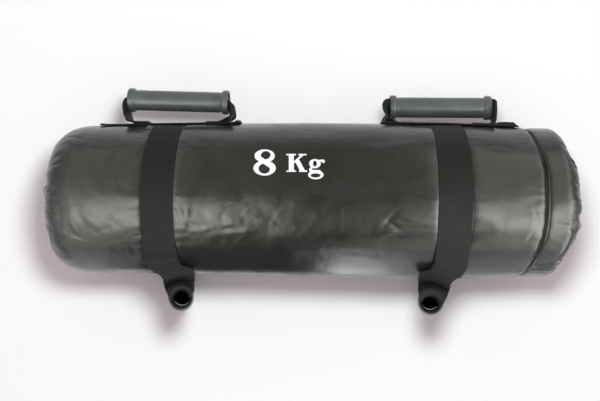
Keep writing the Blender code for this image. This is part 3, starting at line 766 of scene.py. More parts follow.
def make_cap_skin():
    near_zip = [X_ZIP + o for o in (0.0019, 0.0024, 0.003, 0.0038, 0.0048, 0.006, 0.0072, 0.0086, 0.010, 0.012)]
    xs = stations(X_ZIP + 0.0019, HALF_LENGTH - CORNER_CAP, 0.0022, near_zip)
    rings = [side_point(np.full(COLS, x), TURN, cap_relief(np.full(COLS, x), TURN)) for x in xs]
    steps = 28
    for i in range(1, steps + 1):
        rings.append(end_ring(HALF_LENGTH, CORNER_CAP, 1, i / steps, TURN, CAP_PLEATS, 0.0070, cap_relief))
    seam_r = float(radius_at(HALF_LENGTH)) - CORNER_CAP
    rings.append(tucked(rings[-1], HALF_LENGTH, 1, seam_r, 0.0028, 0.0012))
    rings.append(tucked(rings[-1], HALF_LENGTH, 1, seam_r, 0.0050, 0.0006))
    outer = len(rings)
    for t in np.linspace(1.0, 0.0, 9):
        ring = end_ring(HALF_LENGTH, CORNER_CAP, 1, t, TURN, CAP_PLEATS, 0.0070, cap_relief)
        centre = np.array([HALF_LENGTH - CORNER_CAP, 0.0, float(centre_z(HALF_LENGTH))])
        rings.append(centre + (ring - centre) * (1 - 0.0050 / 0.09))
    for x in (0.280, 0.274, 0.268):
        deep = 0.0046
        rings.append(side_point(np.full(COLS, x), TURN, np.minimum(cap_relief(np.full(COLS, x), TURN), 0.0) * 0.5 - deep))
    lip = rings[0]
    for dx, dr in ((0.0040, 0.0036), (0.0012, 0.0030), (-0.0001, 0.0020), (-0.0003, 0.0007)):
        turned_in = lip.copy()
        turned_in[:, 0] += dx
        radial = lip[:, 1:] - (0.0, float(centre_z(X_ZIP)))
        radial /= np.linalg.norm(radial, axis=1)[:, None]
        turned_in[:, 1:] = lip[:, 1:] - radial * dr
        rings.append(turned_in)
    for ring in rings[outer:]:
        ring[:, 2] = np.maximum(ring[:, 2], 0.0016)
    rings = [swayed(ring) for ring in rings]
    rows = len(rings)
    uvs = np.zeros((rows * COLS, 2))
    for i, ring in enumerate(rings):
        uvs[i * COLS : (i + 1) * COLS, 0] = ring[:, 0]
        uvs[i * COLS : (i + 1) * COLS, 1] = TURN * 0.095
    made = skin_rings("cap_skin", rings, FABRIC, wrap_rows=True, uvs=uvs)
    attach(made, "cap")
    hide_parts("cap_shell")
    return made


body_skin, body_points, body_rows = make_body_skin()
cap_skin = make_cap_skin()


def end_panel(name, x_end, corner, outward, seed, body, nodes):
    """Round panel inside the gathers: a little fuller in the middle, puckered where it is sewn."""
    seam = float(radius_at(x_end)) - corner - 0.0009
    zc = float(centre_z(x_end))
    cols = 144
    a = np.linspace(0, 2 * math.pi, cols, endpoint=False)
    rings = []
    for layer, shift in ((0, 0.0), (1, -0.0014)):
        radii = np.concatenate([[seam, seam - 0.0010, seam - 0.0024, seam - 0.0042], np.linspace(seam - 0.0065, 0.004, 20)])
        if layer:
            radii = radii[::-1]
        for r in radii:
            edge = math.exp(-(seam - r) / 0.0035)
            pucker = math.exp(-(seam - r) / 0.009)
            w = waves(np.stack([np.full(cols, seed), np.cos(a) * 7.0, np.sin(a) * 7.0], -1))
            v = waves(np.stack([r * np.cos(a) / 0.03, r * np.sin(a) / 0.03, np.full(cols, seed + 4.0)], -1))
            x = x_end + outward * (0.0008 - 0.0042 * edge + 0.0011 * pucker * w + 0.0007 * v * (1 - pucker) + shift)
            if outward > 0:
                x = x + slump(r * np.cos(a))
            rings.append(np.stack([x, r * np.cos(a), zc + r * np.sin(a)], -1))
    # Both faces meet at the rim; a small hub closes each face.
    made = skin_rings(name, rings[: len(rings) // 2], FABRIC)
    bpy.data.objects.remove(made)
    half = len(rings) // 2
    top, under = rings[:half], rings[half:]
    made = skin_rings(name, top[::-1] + under[::-1], FABRIC, caps=True)
    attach(made, body)
    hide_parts(*nodes)
    return made


end_panel("end_panel_plain", -HALF_LENGTH, CORNER_LEFT, -1, 2.0, "bag", ["end_panel_left"])
end_panel("end_panel_cap", HALF_LENGTH, CORNER_CAP, 1, 6.0, "cap", ["end_panel_right"])


# ---------------------------------------------------------------- webbing
def webbing_strip(name, centre, width_dir, normal, half, uv_along, thick=WEB_THICK, cols=14, closed=False, material=None):
    """A strip of webbing. centre, width_dir and normal are arrays of rows; half is the half width of each row.
    curl, held in half's second column, bends the strip's sides towards its normal."""
    half = np.asarray(half, float)
    curl = np.zeros(len(centre)) if half.ndim == 1 else half[:, 1]
    hw = half if half.ndim == 1 else half[:, 0]
    s = np.linspace(-1, 1, cols)
    rows = len(centre)
    verts, uvs = [], []
    for layer in (1, -1):
        for i in range(rows):
            order = s if layer == 1 else s[::-1]
            for q in order:
                d = q * hw[i]
                k = curl[i]
                if abs(k) < 1e-4:
                    side, rise, tilt = d, 0.0, 0.0
                else:
                    side, rise, tilt = math.sin(k * d) / k, (1 - math.cos(k * d)) / k, k * d
                n = normal[i] * math.cos(tilt) - width_dir[i] * math.sin(tilt)
                t = (thick if np.ndim(thick) == 0 else thick[i]) * (1.0 if abs(q) < 0.93 else 0.72)
                bead = 0.00018 * math.exp(-(((abs(q) - 0.90) / 0.05) ** 2))
                verts.append(centre[i] + width_dir[i] * side + normal[i] * rise + n * layer * (t / 2 + bead))
                uvs.append((uv_along[i], d + 0.03))
    per = cols
    faces = []
    span = rows if closed else rows - 1
    for i in range(span):
        k = (i + 1) % rows
        loop_a = [i * per + j for j in range(per)] + [(rows + i) * per + j for j in range(per)]
        loop_b = [k * per + j for j in range(per)] + [(rows + k) * per + j for j in range(per)]
        m = len(loop_a)
        for j in range(m):
            faces.append((loop_a[j], loop_a[(j + 1) % m], loop_b[(j + 1) % m], loop_b[j]))
    if not closed:
        for i, flip in ((0, False), (rows - 1, True)):
            for j in range(per - 1):
                quad = (i * per + j, i * per + j + 1, (rows + i) * per + per - 2 - j, (rows + i) * per + per - 1 - j)
                faces.append(quad if flip else quad[::-1])
    return outwards(mesh_object(name, verts, faces, material or WEBBING, uvs, 50))


def stitches(name, spots, body, length=0.0024, thick=0.00050, material=None):
    """Rows of thread. spots holds (point, direction, normal) for each stitch."""
    verts, faces = [], []
    for p, d, n in spots:
        p, d, n = Vector(p), Vector(d).normalized(), Vector(n).normalized()
        b = n.cross(d).normalized()
        base = len(verts)
        for u, r, sink in ((-0.5, 0.35, -0.35), (-0.3, 0.95, 0.15), (0.3, 0.95, 0.15), (0.5, 0.35, -0.35)):
            for k in range(6):
                t = k * math.pi / 3
                q = p + d * (u * length) + b * (math.cos(t) * r * thick / 2) + n * (math.sin(t) * r * thick / 2 + sink * thick)
                verts.append(q)
        for ring in range(3):
            for k in range(6):
                m = (k + 1) % 6
                faces.append((base + ring * 6 + k, base + ring * 6 + m, base + ring * 6 + 6 + m, base + ring * 6 + 6 + k))
        faces.append(tuple(base + k for k in range(5, -1, -1)))
        faces.append(tuple(base + 18 + k for k in range(6)))
    made = outwards(mesh_object(name, verts, faces, material or THREAD))
    if body:
        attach(made, body)
    return made


def ring_strap(side):
    x0 = RING_X[side]
    rows = 360
    a = np.linspace(0, 2 * math.pi, rows, endpoint=False)
    sway = 0.0006 * waves(np.stack([np.cos(a) * 1.4, np.sin(a) * 1.4, np.full(rows, x0 * 40)], -1))
    x = x0 + sway
    lift = broad_dents(x, a) - 0.0007 - 0.00015
    centre = side_point(x, a, lift)
    normal = np.stack([np.zeros(rows), np.cos(a), np.sin(a)], -1)
    flat = centre[:, 2] < 0.0016
    normal[flat] = (0, 0, -1)
    centre[:, 2] = np.maximum(centre[:, 2], 0.0011)
    width_dir = np.tile([1.0, 0.0, 0.0], (rows, 1))
    half = np.full(rows, WEB_WIDTH / 2 - 0.0002)
    made = webbing_strip("ring_webbing_" + side, centre, width_dir, normal, half, a * 0.0945, closed=True, cols=22)
    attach(made, "bag")
    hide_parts("ring_strap_" + side)
    spots = []
    count = int(2 * math.pi * 0.0945 / 0.0038)
    for edge in (-1, 1):
        for k in range(count):
            t = 2 * math.pi * (k + 0.5) / count
            lift_here = broad_dents(np.array([x0]), np.array([t]))[0] - 0.0007 - 0.00015 + WEB_THICK / 2 + 0.00008
            p = side_point(np.array([x0 + edge * (WEB_WIDTH / 2 - 0.0026)]), np.array([t]), np.array([lift_here]))[0]
            if p[2] < 0.004:
                continue
            spots.append((p, (0, -math.sin(t), math.cos(t)), (0, math.cos(t), math.sin(t))))
    stitches("ring_stitching_" + side, spots, "bag")


for side in RING_X:
    ring_strap(side)


def base_strap(side):
    """The straight webbing under a long grip, sewn down, with its ends folded under."""
    start, stop = BASE_X[side]
    if side == "right":
        stop -= 0.0036
    else:
        start += 0.0014
    rows = 110
    x = np.linspace(start, stop, rows)
    under = 0.0003 + broad_dents(x, np.zeros(rows)) * 0.5 + 0.00035
    thick = np.full(rows, WEB_THICK)
    if side == "right":
        hump = ease(x, 0.2180, 0.2285) * (1 - ease(x, 0.2430, 0.2496))
        thick = thick + 0.0038 * hump * (1 + 0.12 * np.sin((x - 0.23) * 190))
    else:
        thick = thick + 0.0020 * ease(x, -0.0962, -0.0930) * (1 - ease(x, -0.0895, -0.0878))
        thick = thick + 0.0008 * np.exp(-(((x - start) / 0.006) ** 2))
    r = radius_at(x)
    middle = under + thick / 2
    centre = np.stack([x, r + middle, centre_z(x)], -1)
    normal = np.tile([0.0, 1.0, 0.0], (rows, 1))
    width_dir = np.tile([0.0, 0.0, 1.0], (rows, 1))
    half = np.stack([np.full(rows, WEB_WIDTH / 2), -1.0 / (r + middle)], -1)
    made = webbing_strip("base_webbing_" + side, centre, width_dir, normal, half, x, thick=thick, cols=16)
    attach(made, "bag")
    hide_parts("base_strap_" + side)
    spots = []
    for edge in (-1, 1):
        t = edge * (WEB_WIDTH / 2 - 0.0028) / 0.096
        for q in np.arange(start + 0.004, stop - 0.003, 0.0038):
            if side == "right" and q > 0.217:
                continue
            if side == "left" and -0.097 < q:
                continue
            rr = float(radius_at(q)) + float(broad_dents(np.array([q]), np.array([0.0]))[0]) * 0.5 + 0.0003 + WEB_THICK + 0.00042
            spots.append(((q, rr * math.cos(t), float(centre_z(q)) + rr * math.sin(t)), (1, 0, 0), (0, math.cos(t), math.sin(t))))
    stitches("base_stitching_" + side, spots, "bag")


for side in BASE_X:
    base_strap(side)


# ---------------------------------------------------------------- zip
def zip_half(name, sign, body):
    """Half of the zip, down in the groove between the two lips: its tape and its row of teeth."""
    cols = 360
    a = np.linspace(0, 2 * math.pi, cols, endpoint=False)
    rings, along = [], []
    for off, deep in [(0.0004, 0.0031)] + [(o, 0.0029) for o in (0.0012, 0.003, 0.006, 0.0085)] + [(0.0106, 0.0031), (0.0106, 0.0036), (0.006, 0.0036), (0.0004, 0.0036)]:
        x = np.full(cols, X_ZIP + sign * off)
        ring = side_point(x, a, 0.00025 * waves(round_place(x, a, 0.01, 0.008, 33.0)) - deep)
        ring[:, 2] = np.maximum(ring[:, 2], 0.0028 - (deep - 0.0029))
        rings.append(swayed(ring))
        along.append(np.stack([a * 0.0912, x], 1))
    tape = skin_rings("zip_tape_" + name, rings, TAPE, wrap_rows=True, uvs=np.concatenate(along))
    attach(tape, body)
    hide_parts("zip_tape_" + name)
    count = int(2 * math.pi * 0.0912 / 0.0017)
    spots = []
    for k in range(count):
        t = 2 * math.pi * (k + (0.25 if sign > 0 else 0.75)) / count
        p = side_point(np.array([X_ZIP + sign * 0.0007]), np.array([t]), np.array([-0.0024]))[0]
        p[2] = max(p[2], 0.0034)
        p = swayed(p)
        spots.append((p, (1, 0, 0), (0, math.cos(t), math.sin(t))))
    teeth = stitches("zip_teeth_" + name, spots, body, length=0.0022, thick=0.0009, material=COIL)
    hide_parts("zip_coil_" + name)


zip_half("body", -1, "bag")
zip_half("cap", 1, "cap")


def bevelled(name, material, width):
    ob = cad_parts[name]
    ob.data.materials.clear()
    ob.data.materials.append(material)
    soft = ob.modifiers.new("worn_edges", "BEVEL")
    soft.width = width
    soft.segments = 3
    soft.limit_method = "ANGLE"
    soft.angle_limit = math.radians(40)


bevelled("zip_slider", METAL, 0.0005)
bevelled("zip_pull", METAL, 0.0004)


def hinge_strip():
    """The strip that keeps the cap sewn to the bag, behind the zip."""
    rows = 25
    x = np.linspace(X_ZIP - 0.0165, X_ZIP + 0.0165, rows)
    r = radius_at(x) - 0.0042 + 0.0003 * np.sin((x - X_ZIP) * 260)
    c, q = math.cos(HINGE_ANGLE), math.sin(HINGE_ANGLE)
    centre = np.stack([x, r * c, centre_z(x) + r * q], -1)
    normal = np.tile([0.0, c, q], (rows, 1))
    width_dir = np.tile([0.0, -q, c], (rows, 1))
    half = np.stack([np.full(rows, 0.0185), np.full(rows, -1.0 / 0.088)], -1)
    made = webbing_strip("hinge_strip", centre, width_dir, normal, half, x, thick=0.0009, cols=18, material=FABRIC)
    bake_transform(made)
    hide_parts("cap_hinge_tab")


hinge_strip()


# ---------------------------------------------------------------- filling
def settled_mesh(ob):
    """Keeps what the modifiers make of a mesh, without the modifiers."""
    bpy.context.view_layer.update()
    mesh = bpy.data.meshes.new_from_object(ob.evaluated_get(bpy.context.evaluated_depsgraph_get()))
    ob.modifiers.clear()
    ob.data = mesh


def coords(ob):
    out = np.zeros(len(ob.data.vertices) * 3)
    ob.data.vertices.foreach_get("co", out)
    return out.reshape(-1, 3)


def moved(ob, points):
    ob.data.vertices.foreach_set("co", np.asarray(points, np.float64).ravel())
    ob.data.update()


def puffed(ob, pressure=4.0, reach=0.0022):
    """A short cloth simulation of the cover under the pressure of its filling; no point ends up further than reach from where it was."""
    before = coords(ob)
    cloth = ob.modifiers.new("cover", "CLOTH")
    cloth.settings.quality = 5
    cloth.settings.mass = 0.25
    cloth.settings.tension_stiffness = 12
    cloth.settings.compression_stiffness = 12
    cloth.settings.shear_stiffness = 5
    cloth.settings.bending_stiffness = 0.3
    cloth.settings.use_pressure = True
    cloth.settings.uniform_pressure_force = pressure
    cloth.settings.effector_weights.gravity = 0
    cloth.point_cache.frame_start = 1
    cloth.point_cache.frame_end = 20
    for frame_number in range(1, 21):
        bpy.context.scene.frame_set(frame_number)
    settled_mesh(ob)
    bpy.context.scene.frame_set(1)
    step = coords(ob) - before
    length = np.linalg.norm(step, axis=1)[:, None]
    moved(ob, before + step * np.minimum(1.0, reach / np.maximum(length, 1e-9)))


def stuffed(name, source, body, material, voxel, height, size, seed, cloth=False, shrink=0.0):
    """A soft piece in the shape of a CAD solid: rounded over, simulated if it has a cover, and made uneven."""
    made = bpy.data.objects.new(name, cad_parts[source].data.copy())
    bpy.context.scene.collection.objects.link(made)
    made.data.materials.clear()
    grid = made.modifiers.new("grid", "REMESH")
    grid.mode = "VOXEL"
    grid.voxel_size = voxel
    calm = made.modifiers.new("calm", "SMOOTH")
    calm.factor = 0.5
    calm.iterations = 6
    settled_mesh(made)
    if cloth:
        puffed(made)
    finer = made.modifiers.new("finer", "SUBSURF")
    finer.levels = finer.render_levels = 1
    settled_mesh(made)
    p = coords(made)
    normals = np.zeros(len(p) * 3)
    made.data.vertices.foreach_get("normal", normals)
    lumps = waves(p / size + seed) + 0.45 * waves(p / (size * 0.37) + seed + 9.0)
    p = p + normals.reshape(-1, 3) * (height * (lumps - 0.5) - shrink)[:, None]
    p[:, 2] = np.maximum(p[:, 2], 0.0052)
    if body == "cap":
        # It draws back with the skin that covers it.
        p[:, 0] += (1.15 * slump(p[:, 1]) - 0.0016) * ease(p[:, 0], 0.272, 0.296)
    moved(made, p)
    made.data.materials.clear()
    made.data.materials.append(material)
    made.data.shade_smooth()
    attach(made, body)
    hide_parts(source)
    return made


stuffed("wadding_sleeve", "filler_sleeve", "bag", FOAM, 0.006, 0.0009, 0.022, 1.0, shrink=0.0016)
stuffed("wadding_plain_end", "filler_pad_left", "bag", FOAM, 0.0055, 0.0012, 0.020, 3.0, cloth=True, shrink=0.0024)
stuffed("wadding_zip_end", "filler_pad_right", "bag", FOAM, 0.0050, 0.0012, 0.020, 5.0, cloth=True, shrink=0.0020)
stuffed("wadding_cap", "cap_pad", "cap", FOAM, 0.0055, 0.0012, 0.020, 7.0, cloth=True, shrink=0.0028)

LINER_SHAPE = [
    (0.0008, 0.002), (0.001, 0.014), (0.003, 0.028), (0.007, 0.040), (0.013, 0.048), (0.022, 0.0525), (0.035, 0.0542), (0.060, 0.0548),
    (0.090, 0.0546), (0.120, 0.0549), (0.150, 0.0542), (0.166, 0.0515), (0.178, 0.0455), (0.188, 0.0360), (0.196, 0.0240), (0.203, 0.0130),
    (0.208, 0.0088), (0.2145, 0.0074), (0.2180, 0.0084), (0.2215, 0.0108), (0.2240, 0.0128),
]


def sand_bag(side, x0, seed):
    """Sand in a knotted film bag."""
    axis = float(centre_z(0.0))
    shape = curve_through(LINER_SHAPE, 90)
    film = turned("sand_film_" + side, [(u, max(0.001, v)) for u, v in shape], FILM, 144, wrap=False)
    p = coords(film)
    a = np.arctan2(p[:, 2], p[:, 1])
    r = np.hypot(p[:, 1], p[:, 2])
    neck = ease(p[:, 0], 0.150, 0.200)
    gathers = np.sin(a * 13 + 2.2 * waves(np.stack([p[:, 0] / 0.03, np.cos(a), np.sin(a)], -1) + seed)) * neck * 0.055 * r
    crumple = 0.0010 * (waves(p / 0.017 + seed) - 0.8) + 0.0005 * waves(p / 0.006 + seed)
    grow = 1 + (np.minimum(0.0, crumple) + gathers * (1 - 0.4 * neck) - 0.035 * neck * r) / np.maximum(r, 0.004)
    p[:, 1:] *= grow[:, None]
    moved(film, p + (x0, 0, axis))
    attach(film, "bag")
    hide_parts("sand_liner_" + side)
    heap = turned("sand_heap_" + side, [(u + 0.0014, max(0.001, v - 0.0030)) for u, v in shape if u < 0.193], SAND, 72, wrap=False)
    q = coords(heap)
    q[:, 1:] *= (1 - 0.006 * (1 + waves(q / 0.014 + seed)))[:, None]
    moved(heap, q + (x0, 0, axis))
    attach(heap, "bag")
    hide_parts("sand_" + side)
    # Two turns of twisted cord round the neck, and their two loose ends.
    steps, cord = 260, 8
    rings = []
    for i in range(steps):
        t = i / (steps - 1)
        turn = 2 * math.pi * 2.35 * t
        here = Vector((0.2135 + 0.0022 * (t - 0.5), 0.0092 * math.cos(turn), 0.0092 * math.sin(turn)))
        radial = Vector((0, math.cos(turn), math.sin(turn)))
        ring = []
        for k in range(cord):
            b = 2 * math.pi * k / cord
            swell = 0.00082 * (1 + 0.16 * math.cos(2 * b + turn * 9))
            ring.append(here + radial * (math.cos(b) * swell) + Vector((1, 0, 0)) * (math.sin(b) * swell))
        rings.append(np.array([tuple(v) for v in ring]) + (x0, 0, axis))
    tie = skin_rings("sand_tie_" + side, rings, CORD, caps=True)
    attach(tie, "bag")
    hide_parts("liner_tie_" + side)


sand_bag("left", -0.2455, 11.0)
sand_bag("right", -0.0015, 17.0)


# ---------------------------------------------------------------- handles
def grip_tube(name, place, body, node_name):
    """Plastic tube with a raised collar at each end, a shallow neck beside it and a flared mouth."""
    half = GRIP_LENGTH / 2
    right = [
        (0.000, 0.01262),
        (0.015, 0.01264),
        (0.030, 0.01266),
        (0.044, 0.01268),
        (0.0500, 0.01262),
        (0.0519, 0.01240),
        (0.0529, 0.01238),
        (0.0537, 0.01262),
        (0.0543, 0.01340),
        (0.0551, 0.01440),
        (0.0562, 0.01490),
        (0.0578, 0.01502),
        (0.0598, 0.01502),
        (0.0612, 0.01486),
        (0.0621, 0.01456),
        (half, 0.01415),
        (half, 0.01370),
        (half - 0.0004, 0.01320),
        (half - 0.0014, 0.01268),
        (half - 0.0034, 0.01232),
        (half - 0.0090, 0.01190),
        (half - 0.0200, 0.01120),
        (0.030, 0.01070),
        (0.010, 0.01070),
    ]
    profile = right + [(-u, r) for u, r in reversed(right[1:])]
    made = turned(name, profile, GRIP, steps=72, wrap=True)
    co = np.array([v.co for v in made.data.vertices])
    r = np.hypot(co[:, 1], co[:, 2])
    # A hand-worn tube is never quite round.
    wobble = 1 + 0.006 * waves(np.stack([co[:, 0] / 0.05, co[:, 1] / 0.012, co[:, 2] / 0.012], -1)) * (r > 0.012)
    co[:, 1:] *= wobble[:, None]
    made.data.vertices.foreach_set("co", co.astype(np.float32).ravel())
    made.data.transform(place)
    made.data.update()
    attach(made, body)
    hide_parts(node_name)
    return made


def frame_of(u, v, where):
    made = Matrix((u, v, u.cross(v))).transposed().to_4x4()
    made.translation = where
    return made


def ribbon(name, path, samples, turn_at, thick=0.0019, cols=23):
    """Webbing along a path in a handle's own plane. Each row of the path holds: along the grip, away from the bag,
    curl per metre, half width, and the direction (two numbers) in which the curl lifts the sides.
    turn_at(point, away) puts a point of the handle's plane in the world."""
    pts = curve_through(path, samples)
    s = np.linspace(-1, 1, cols)
    grid = np.zeros((samples, cols, 3))
    for i, (u, v, curl, half, du, dv) in enumerate(pts):
        size = math.hypot(du, dv) or 1.0
        d = s * half
        if abs(curl) < 1e-3:
            side, rise = d, 0 * d
        else:
            side, rise = np.sin(curl * d) / curl, (1 - np.cos(curl * d)) / curl
        for j in range(cols):
            grid[i, j] = turn_at(Vector((u + du / size * rise[j], v + dv / size * rise[j], side[j])), v)
    along = np.gradient(grid, axis=0)
    across = np.gradient(grid, axis=1)
    normal = np.cross(along, across)
    normal /= np.maximum(np.linalg.norm(normal, axis=2), 1e-12)[:, :, None]
    dist = np.concatenate([[0], np.cumsum(np.linalg.norm(np.diff(grid[:, cols // 2], axis=0), axis=1))])
    edge = np.where(np.abs(s) < 0.93, 1.0, 0.72) + 0.10 * np.exp(-(((np.abs(s) - 0.90) / 0.05) ** 2))
    verts, uvs = [], []
    for layer in (1, -1):
        for i in range(samples):
            order = range(cols) if layer == 1 else range(cols - 1, -1, -1)
            for j in order:
                verts.append(grid[i, j] + normal[i, j] * (layer * thick / 2 * edge[j]))
                uvs.append((dist[i], s[j] * 0.019 + 0.03))
    faces = []
    per = cols
    for i in range(samples - 1):
        k = i + 1
        loop_a = [i * per + j for j in range(per)] + [(samples + i) * per + j for j in range(per)]
        loop_b = [k * per + j for j in range(per)] + [(samples + k) * per + j for j in range(per)]
        m = len(loop_a)
        for j in range(m):
            faces.append((loop_a[j], loop_a[(j + 1) % m], loop_b[(j + 1) % m], loop_b[j]))
    for i, flip in ((0, False), (samples - 1, True)):
        for j in range(per - 1):
            quad = (i * per + j, i * per + j + 1, (samples + i) * per + per - 2 - j, (samples + i) * per + per - 1 - j)
            faces.append(quad if flip else quad[::-1])
    return outwards(mesh_object(name, verts, faces, WEBBING, uvs, 60))


def foot_stitches(name, place, spots_uvw, normal_local):
    """Boxes of stitching where the webbing is sewn down."""
    spots = []
    rot = place.to_3x3()
    for p, d in spots_uvw:
        spots.append((place @ Vector(p), rot @ Vector(d), rot @ Vector(normal_local)))
    return stitches(name, spots, "bag")


def far_path(side):
    """The arm nearer the bag's middle bulges; the outer arm lies close."""
    x = FAR_X[side]
    lev, mouth = FAR_LEVER, GRIP_LENGTH / 2
    full = max(float(radius_at(x - FAR_FOOT)), float(radius_at(x + FAR_FOOT)))
    inner = 1 if side == "left" else -1

    def lay(u):
        return float(radius_at(x + u)) - full - PIVOT_LIFT + 0.0003 + WEB_THICK + 0.00045

    def arm(sign):
        low = lev - 0.0092 + sign * mouth * math.tan(FAR_YAW[side])
        if sign != inner:
            bends = [
                (0.0555, lay(0.0555) + 0.0001, -9.0, 0.0188, 0.0, 1.0),
                (0.0612, lay(0.0612) + 0.0012, -3.0, 0.0188, -0.3, 1.0),
                (0.0634, 0.0036, 5.0, 0.0188, 0.8, 0.3),
                (0.0638, 0.0088, 16.0, 0.0187, 0.6, 0.7),
                (mouth + 0.0010, low - 0.0005, 62.0, 0.0185, 0.14, 1.0),
            ]
        elif side == "left":
            bends = [
                (0.0520, lay(0.0520) + 0.0001, -8.0, 0.0188, 0.0, 1.0),
                (0.0588, lay(0.0588) + 0.0010, 6.0, 0.0188, 0.4, 1.0),
                (0.0632, 0.0010, 22.0, 0.0188, 0.9, 0.5),
                (0.0645, 0.0056, 28.0, 0.0187, 1.0, 0.2),
                (0.0640, 0.0100, 36.0, 0.0186, 0.7, 0.7),
                (mouth + 0.0010, low - 0.0004, 70.0, 0.0185, 0.15, 1.0),
            ]
        else:
            bends = [
                (0.0515, lay(0.0515) + 0.0001, -8.0, 0.0188, 0.0, 1.0),
                (0.0590, lay(0.0590) + 0.0010, 10.0, 0.0188, 0.5, 1.0),
                (0.0655, 0.0008, 32.0, 0.0188, 1.0, 0.2),
                (0.0675, 0.0056, 34.0, 0.0187, 1.0, 0.1),
                (0.0662, 0.0104, 42.0, 0.0186, 0.8, 0.6),
                (mouth + 0.0017, low - 0.0004, 70.0, 0.0185, 0.2, 1.0),
            ]
        inside = [
            (mouth - 0.0040, low + 0.0002, 96.0, 0.0182, 0.0, 1.0),
            (mouth - 0.0120, low, 103.0, 0.0180, 0.0, 1.0),
            (mouth - 0.0300, lev - 0.0092 + sign * (mouth - 0.03) * math.tan(FAR_YAW[side]), 104.0, 0.0180, 0.0, 1.0),
        ]
        feet = [(0.0370, lay(0.0370), -10.3, 0.0188, 0.0, 1.0), (0.0450, lay(0.0450), -10.3, 0.0188, 0.0, 1.0)]
        return [(sign * u, v, k, h, sign * du, dv) for u, v, k, h, du, dv in feet + bends + inside]

    return arm(-1) + [(0.0, lev - 0.0092, 104.0, 0.0180, 0.0, 1.0)] + list(reversed(arm(1)))


def near_path(side):
    """The standing handles: at the top the webbing dips between the bag and the tube, then turns over the rim into it.
    Below, it runs under the tube and up its outer wall, because the tube has slid down onto it."""
    lean = NEAR_LEAN[side]
    foot = (float(radius_at(RING_X[side])) + PIVOT_LIFT) * math.sin(NEAR_FOOT_ANGLE)

    def ends(deg, out):
        # Along the ring, where the handle's end is sewn to it: it rises from the ring by out.
        at = math.pi - math.radians(deg)
        r = float(radius_at(RING_X[side])) + out + float(broad_dents(np.array([RING_X[side]]), np.array([at]))[0])
        back = (float(radius_at(RING_X[side])) + PIVOT_LIFT) * math.cos(NEAR_FOOT_ANGLE)
        return r * math.sin(math.radians(deg)), r * math.cos(math.radians(deg)) - back

    def tube(s, out, curl, half):
        return (
            -NEAR_SLIP + s * math.cos(lean) - out * math.sin(lean),
            NEAR_LEVER + s * math.sin(lean) + out * math.cos(lean),
            curl,
            half,
            -math.sin(lean),
            math.cos(lean),
        )

    lower = [
        (*ends(-73.0, -0.0016), 0.0, 0.0187, 0.0, 1.0),
        (*ends(-68.0, -0.0010), 0.0, 0.0187, 0.0, 1.0),
        (*ends(-63.0, -0.0003), 0.0, 0.0187, 0.0, 1.0),
        (*ends(-58.0, 0.0007), 0.0, 0.0188, 0.0, 1.0),
        (*ends(-53.5, 0.0018), 0.0, 0.0189, 0.0, 1.0),
        (-foot + 0.0002, -0.0042, 0.0, 0.0189, 0.0, 1.0),
        (-foot + 0.0018, 0.0008, 0.0, 0.0189, 0.0, 1.0),
        (-foot - 0.0014, 0.0120, 0.0, 0.0189, 0.0, 1.0),
        (-foot - 0.0048, 0.0260, -4.0, 0.0188, 0.0, 1.0),
        (-foot - 0.0054, 0.0420, -12.0, 0.0188, 0.3, 1.0),
        (-foot - 0.0046, 0.0560, -26.0, 0.0187, 0.6, 1.0),
        (-foot - 0.0020, 0.0670, -52.0, 0.0186, 0.5, 1.0),
        tube(-0.0638, 0.0091, -86.0, 0.0184),
        tube(-0.0580, 0.0092, -98.0, 0.0182),
        tube(-0.0420, 0.0086, -96.0, 0.0176),
        tube(-0.0200, 0.0050, -60.0, 0.0130),
        tube(0.0000, 0.0000, 1.0, 0.0096),
    ]
    if side == "left":
        upper = [
            tube(0.0200, -0.0045, 50.0, 0.0125),
            tube(0.0400, -0.0084, 90.0, 0.0168),
            tube(0.0540, -0.0093, 100.0, 0.0181),
            tube(0.0608, -0.0097, 97.0, 0.0183),
            tube(0.0642, -0.0112, 86.0, 0.0184),
            tube(0.0650, -0.0134, 76.0, 0.0185),
            tube(0.0634, -0.0158, 66.0, 0.0186),
            tube(0.0580, -0.0170, 60.0, 0.0187),
            tube(0.0490, -0.0180, 50.0, 0.0188),
            (0.0435, 0.0325, 34.0, 0.0188, 0.0, 1.0),
            (0.0488, 0.0300, 18.0, 0.0189, 0.0, 1.0),
        ]
    else:
        upper = [
            tube(0.0200, -0.0030, 44.0, 0.0120),
            tube(0.0420, -0.0062, 84.0, 0.0160),
            tube(0.0560, -0.0072, 95.0, 0.0170),
            tube(0.0622, -0.0076, 93.0, 0.0174),
            tube(0.0652, -0.0094, 76.0, 0.0178),
            tube(0.0664, -0.0126, 58.0, 0.0181),
            tube(0.0654, -0.0160, 46.0, 0.0184),
            tube(0.0605, -0.0184, 40.0, 0.0186),
            tube(0.0520, -0.0195, 34.0, 0.0188),
            (0.0450, 0.0322, 24.0, 0.0188, 0.0, 1.0),
            (0.0495, 0.0300, 14.0, 0.0189, 0.0, 1.0),
        ]
    strap = [
        (0.0532, 0.0272, 6.0, 0.0189, 0.0, 1.0),
        (0.0568, 0.0226, 2.0, 0.0189, 0.0, 1.0),
        (0.0604, 0.0160, 0.0, 0.0189, 0.0, 1.0),
        (0.0640, 0.0082, 0.0, 0.0189, 0.0, 1.0),
        (foot - 0.0041, 0.0006, 0.0, 0.0189, 0.0, 1.0),
        (foot - 0.0002, -0.0042, 0.0, 0.0189, 0.0, 1.0),
        (*ends(53.5, 0.0018), 0.0, 0.0189, 0.0, 1.0),
        (*ends(58.0, 0.0007), 0.0, 0.0188, 0.0, 1.0),
        (*ends(63.0, -0.0003), 0.0, 0.0187, 0.0, 1.0),
        (*ends(68.0, -0.0010), 0.0, 0.0187, 0.0, 1.0),
        (*ends(73.0, -0.0016), 0.0, 0.0187, 0.0, 1.0),
    ]
    return lower + upper + strap


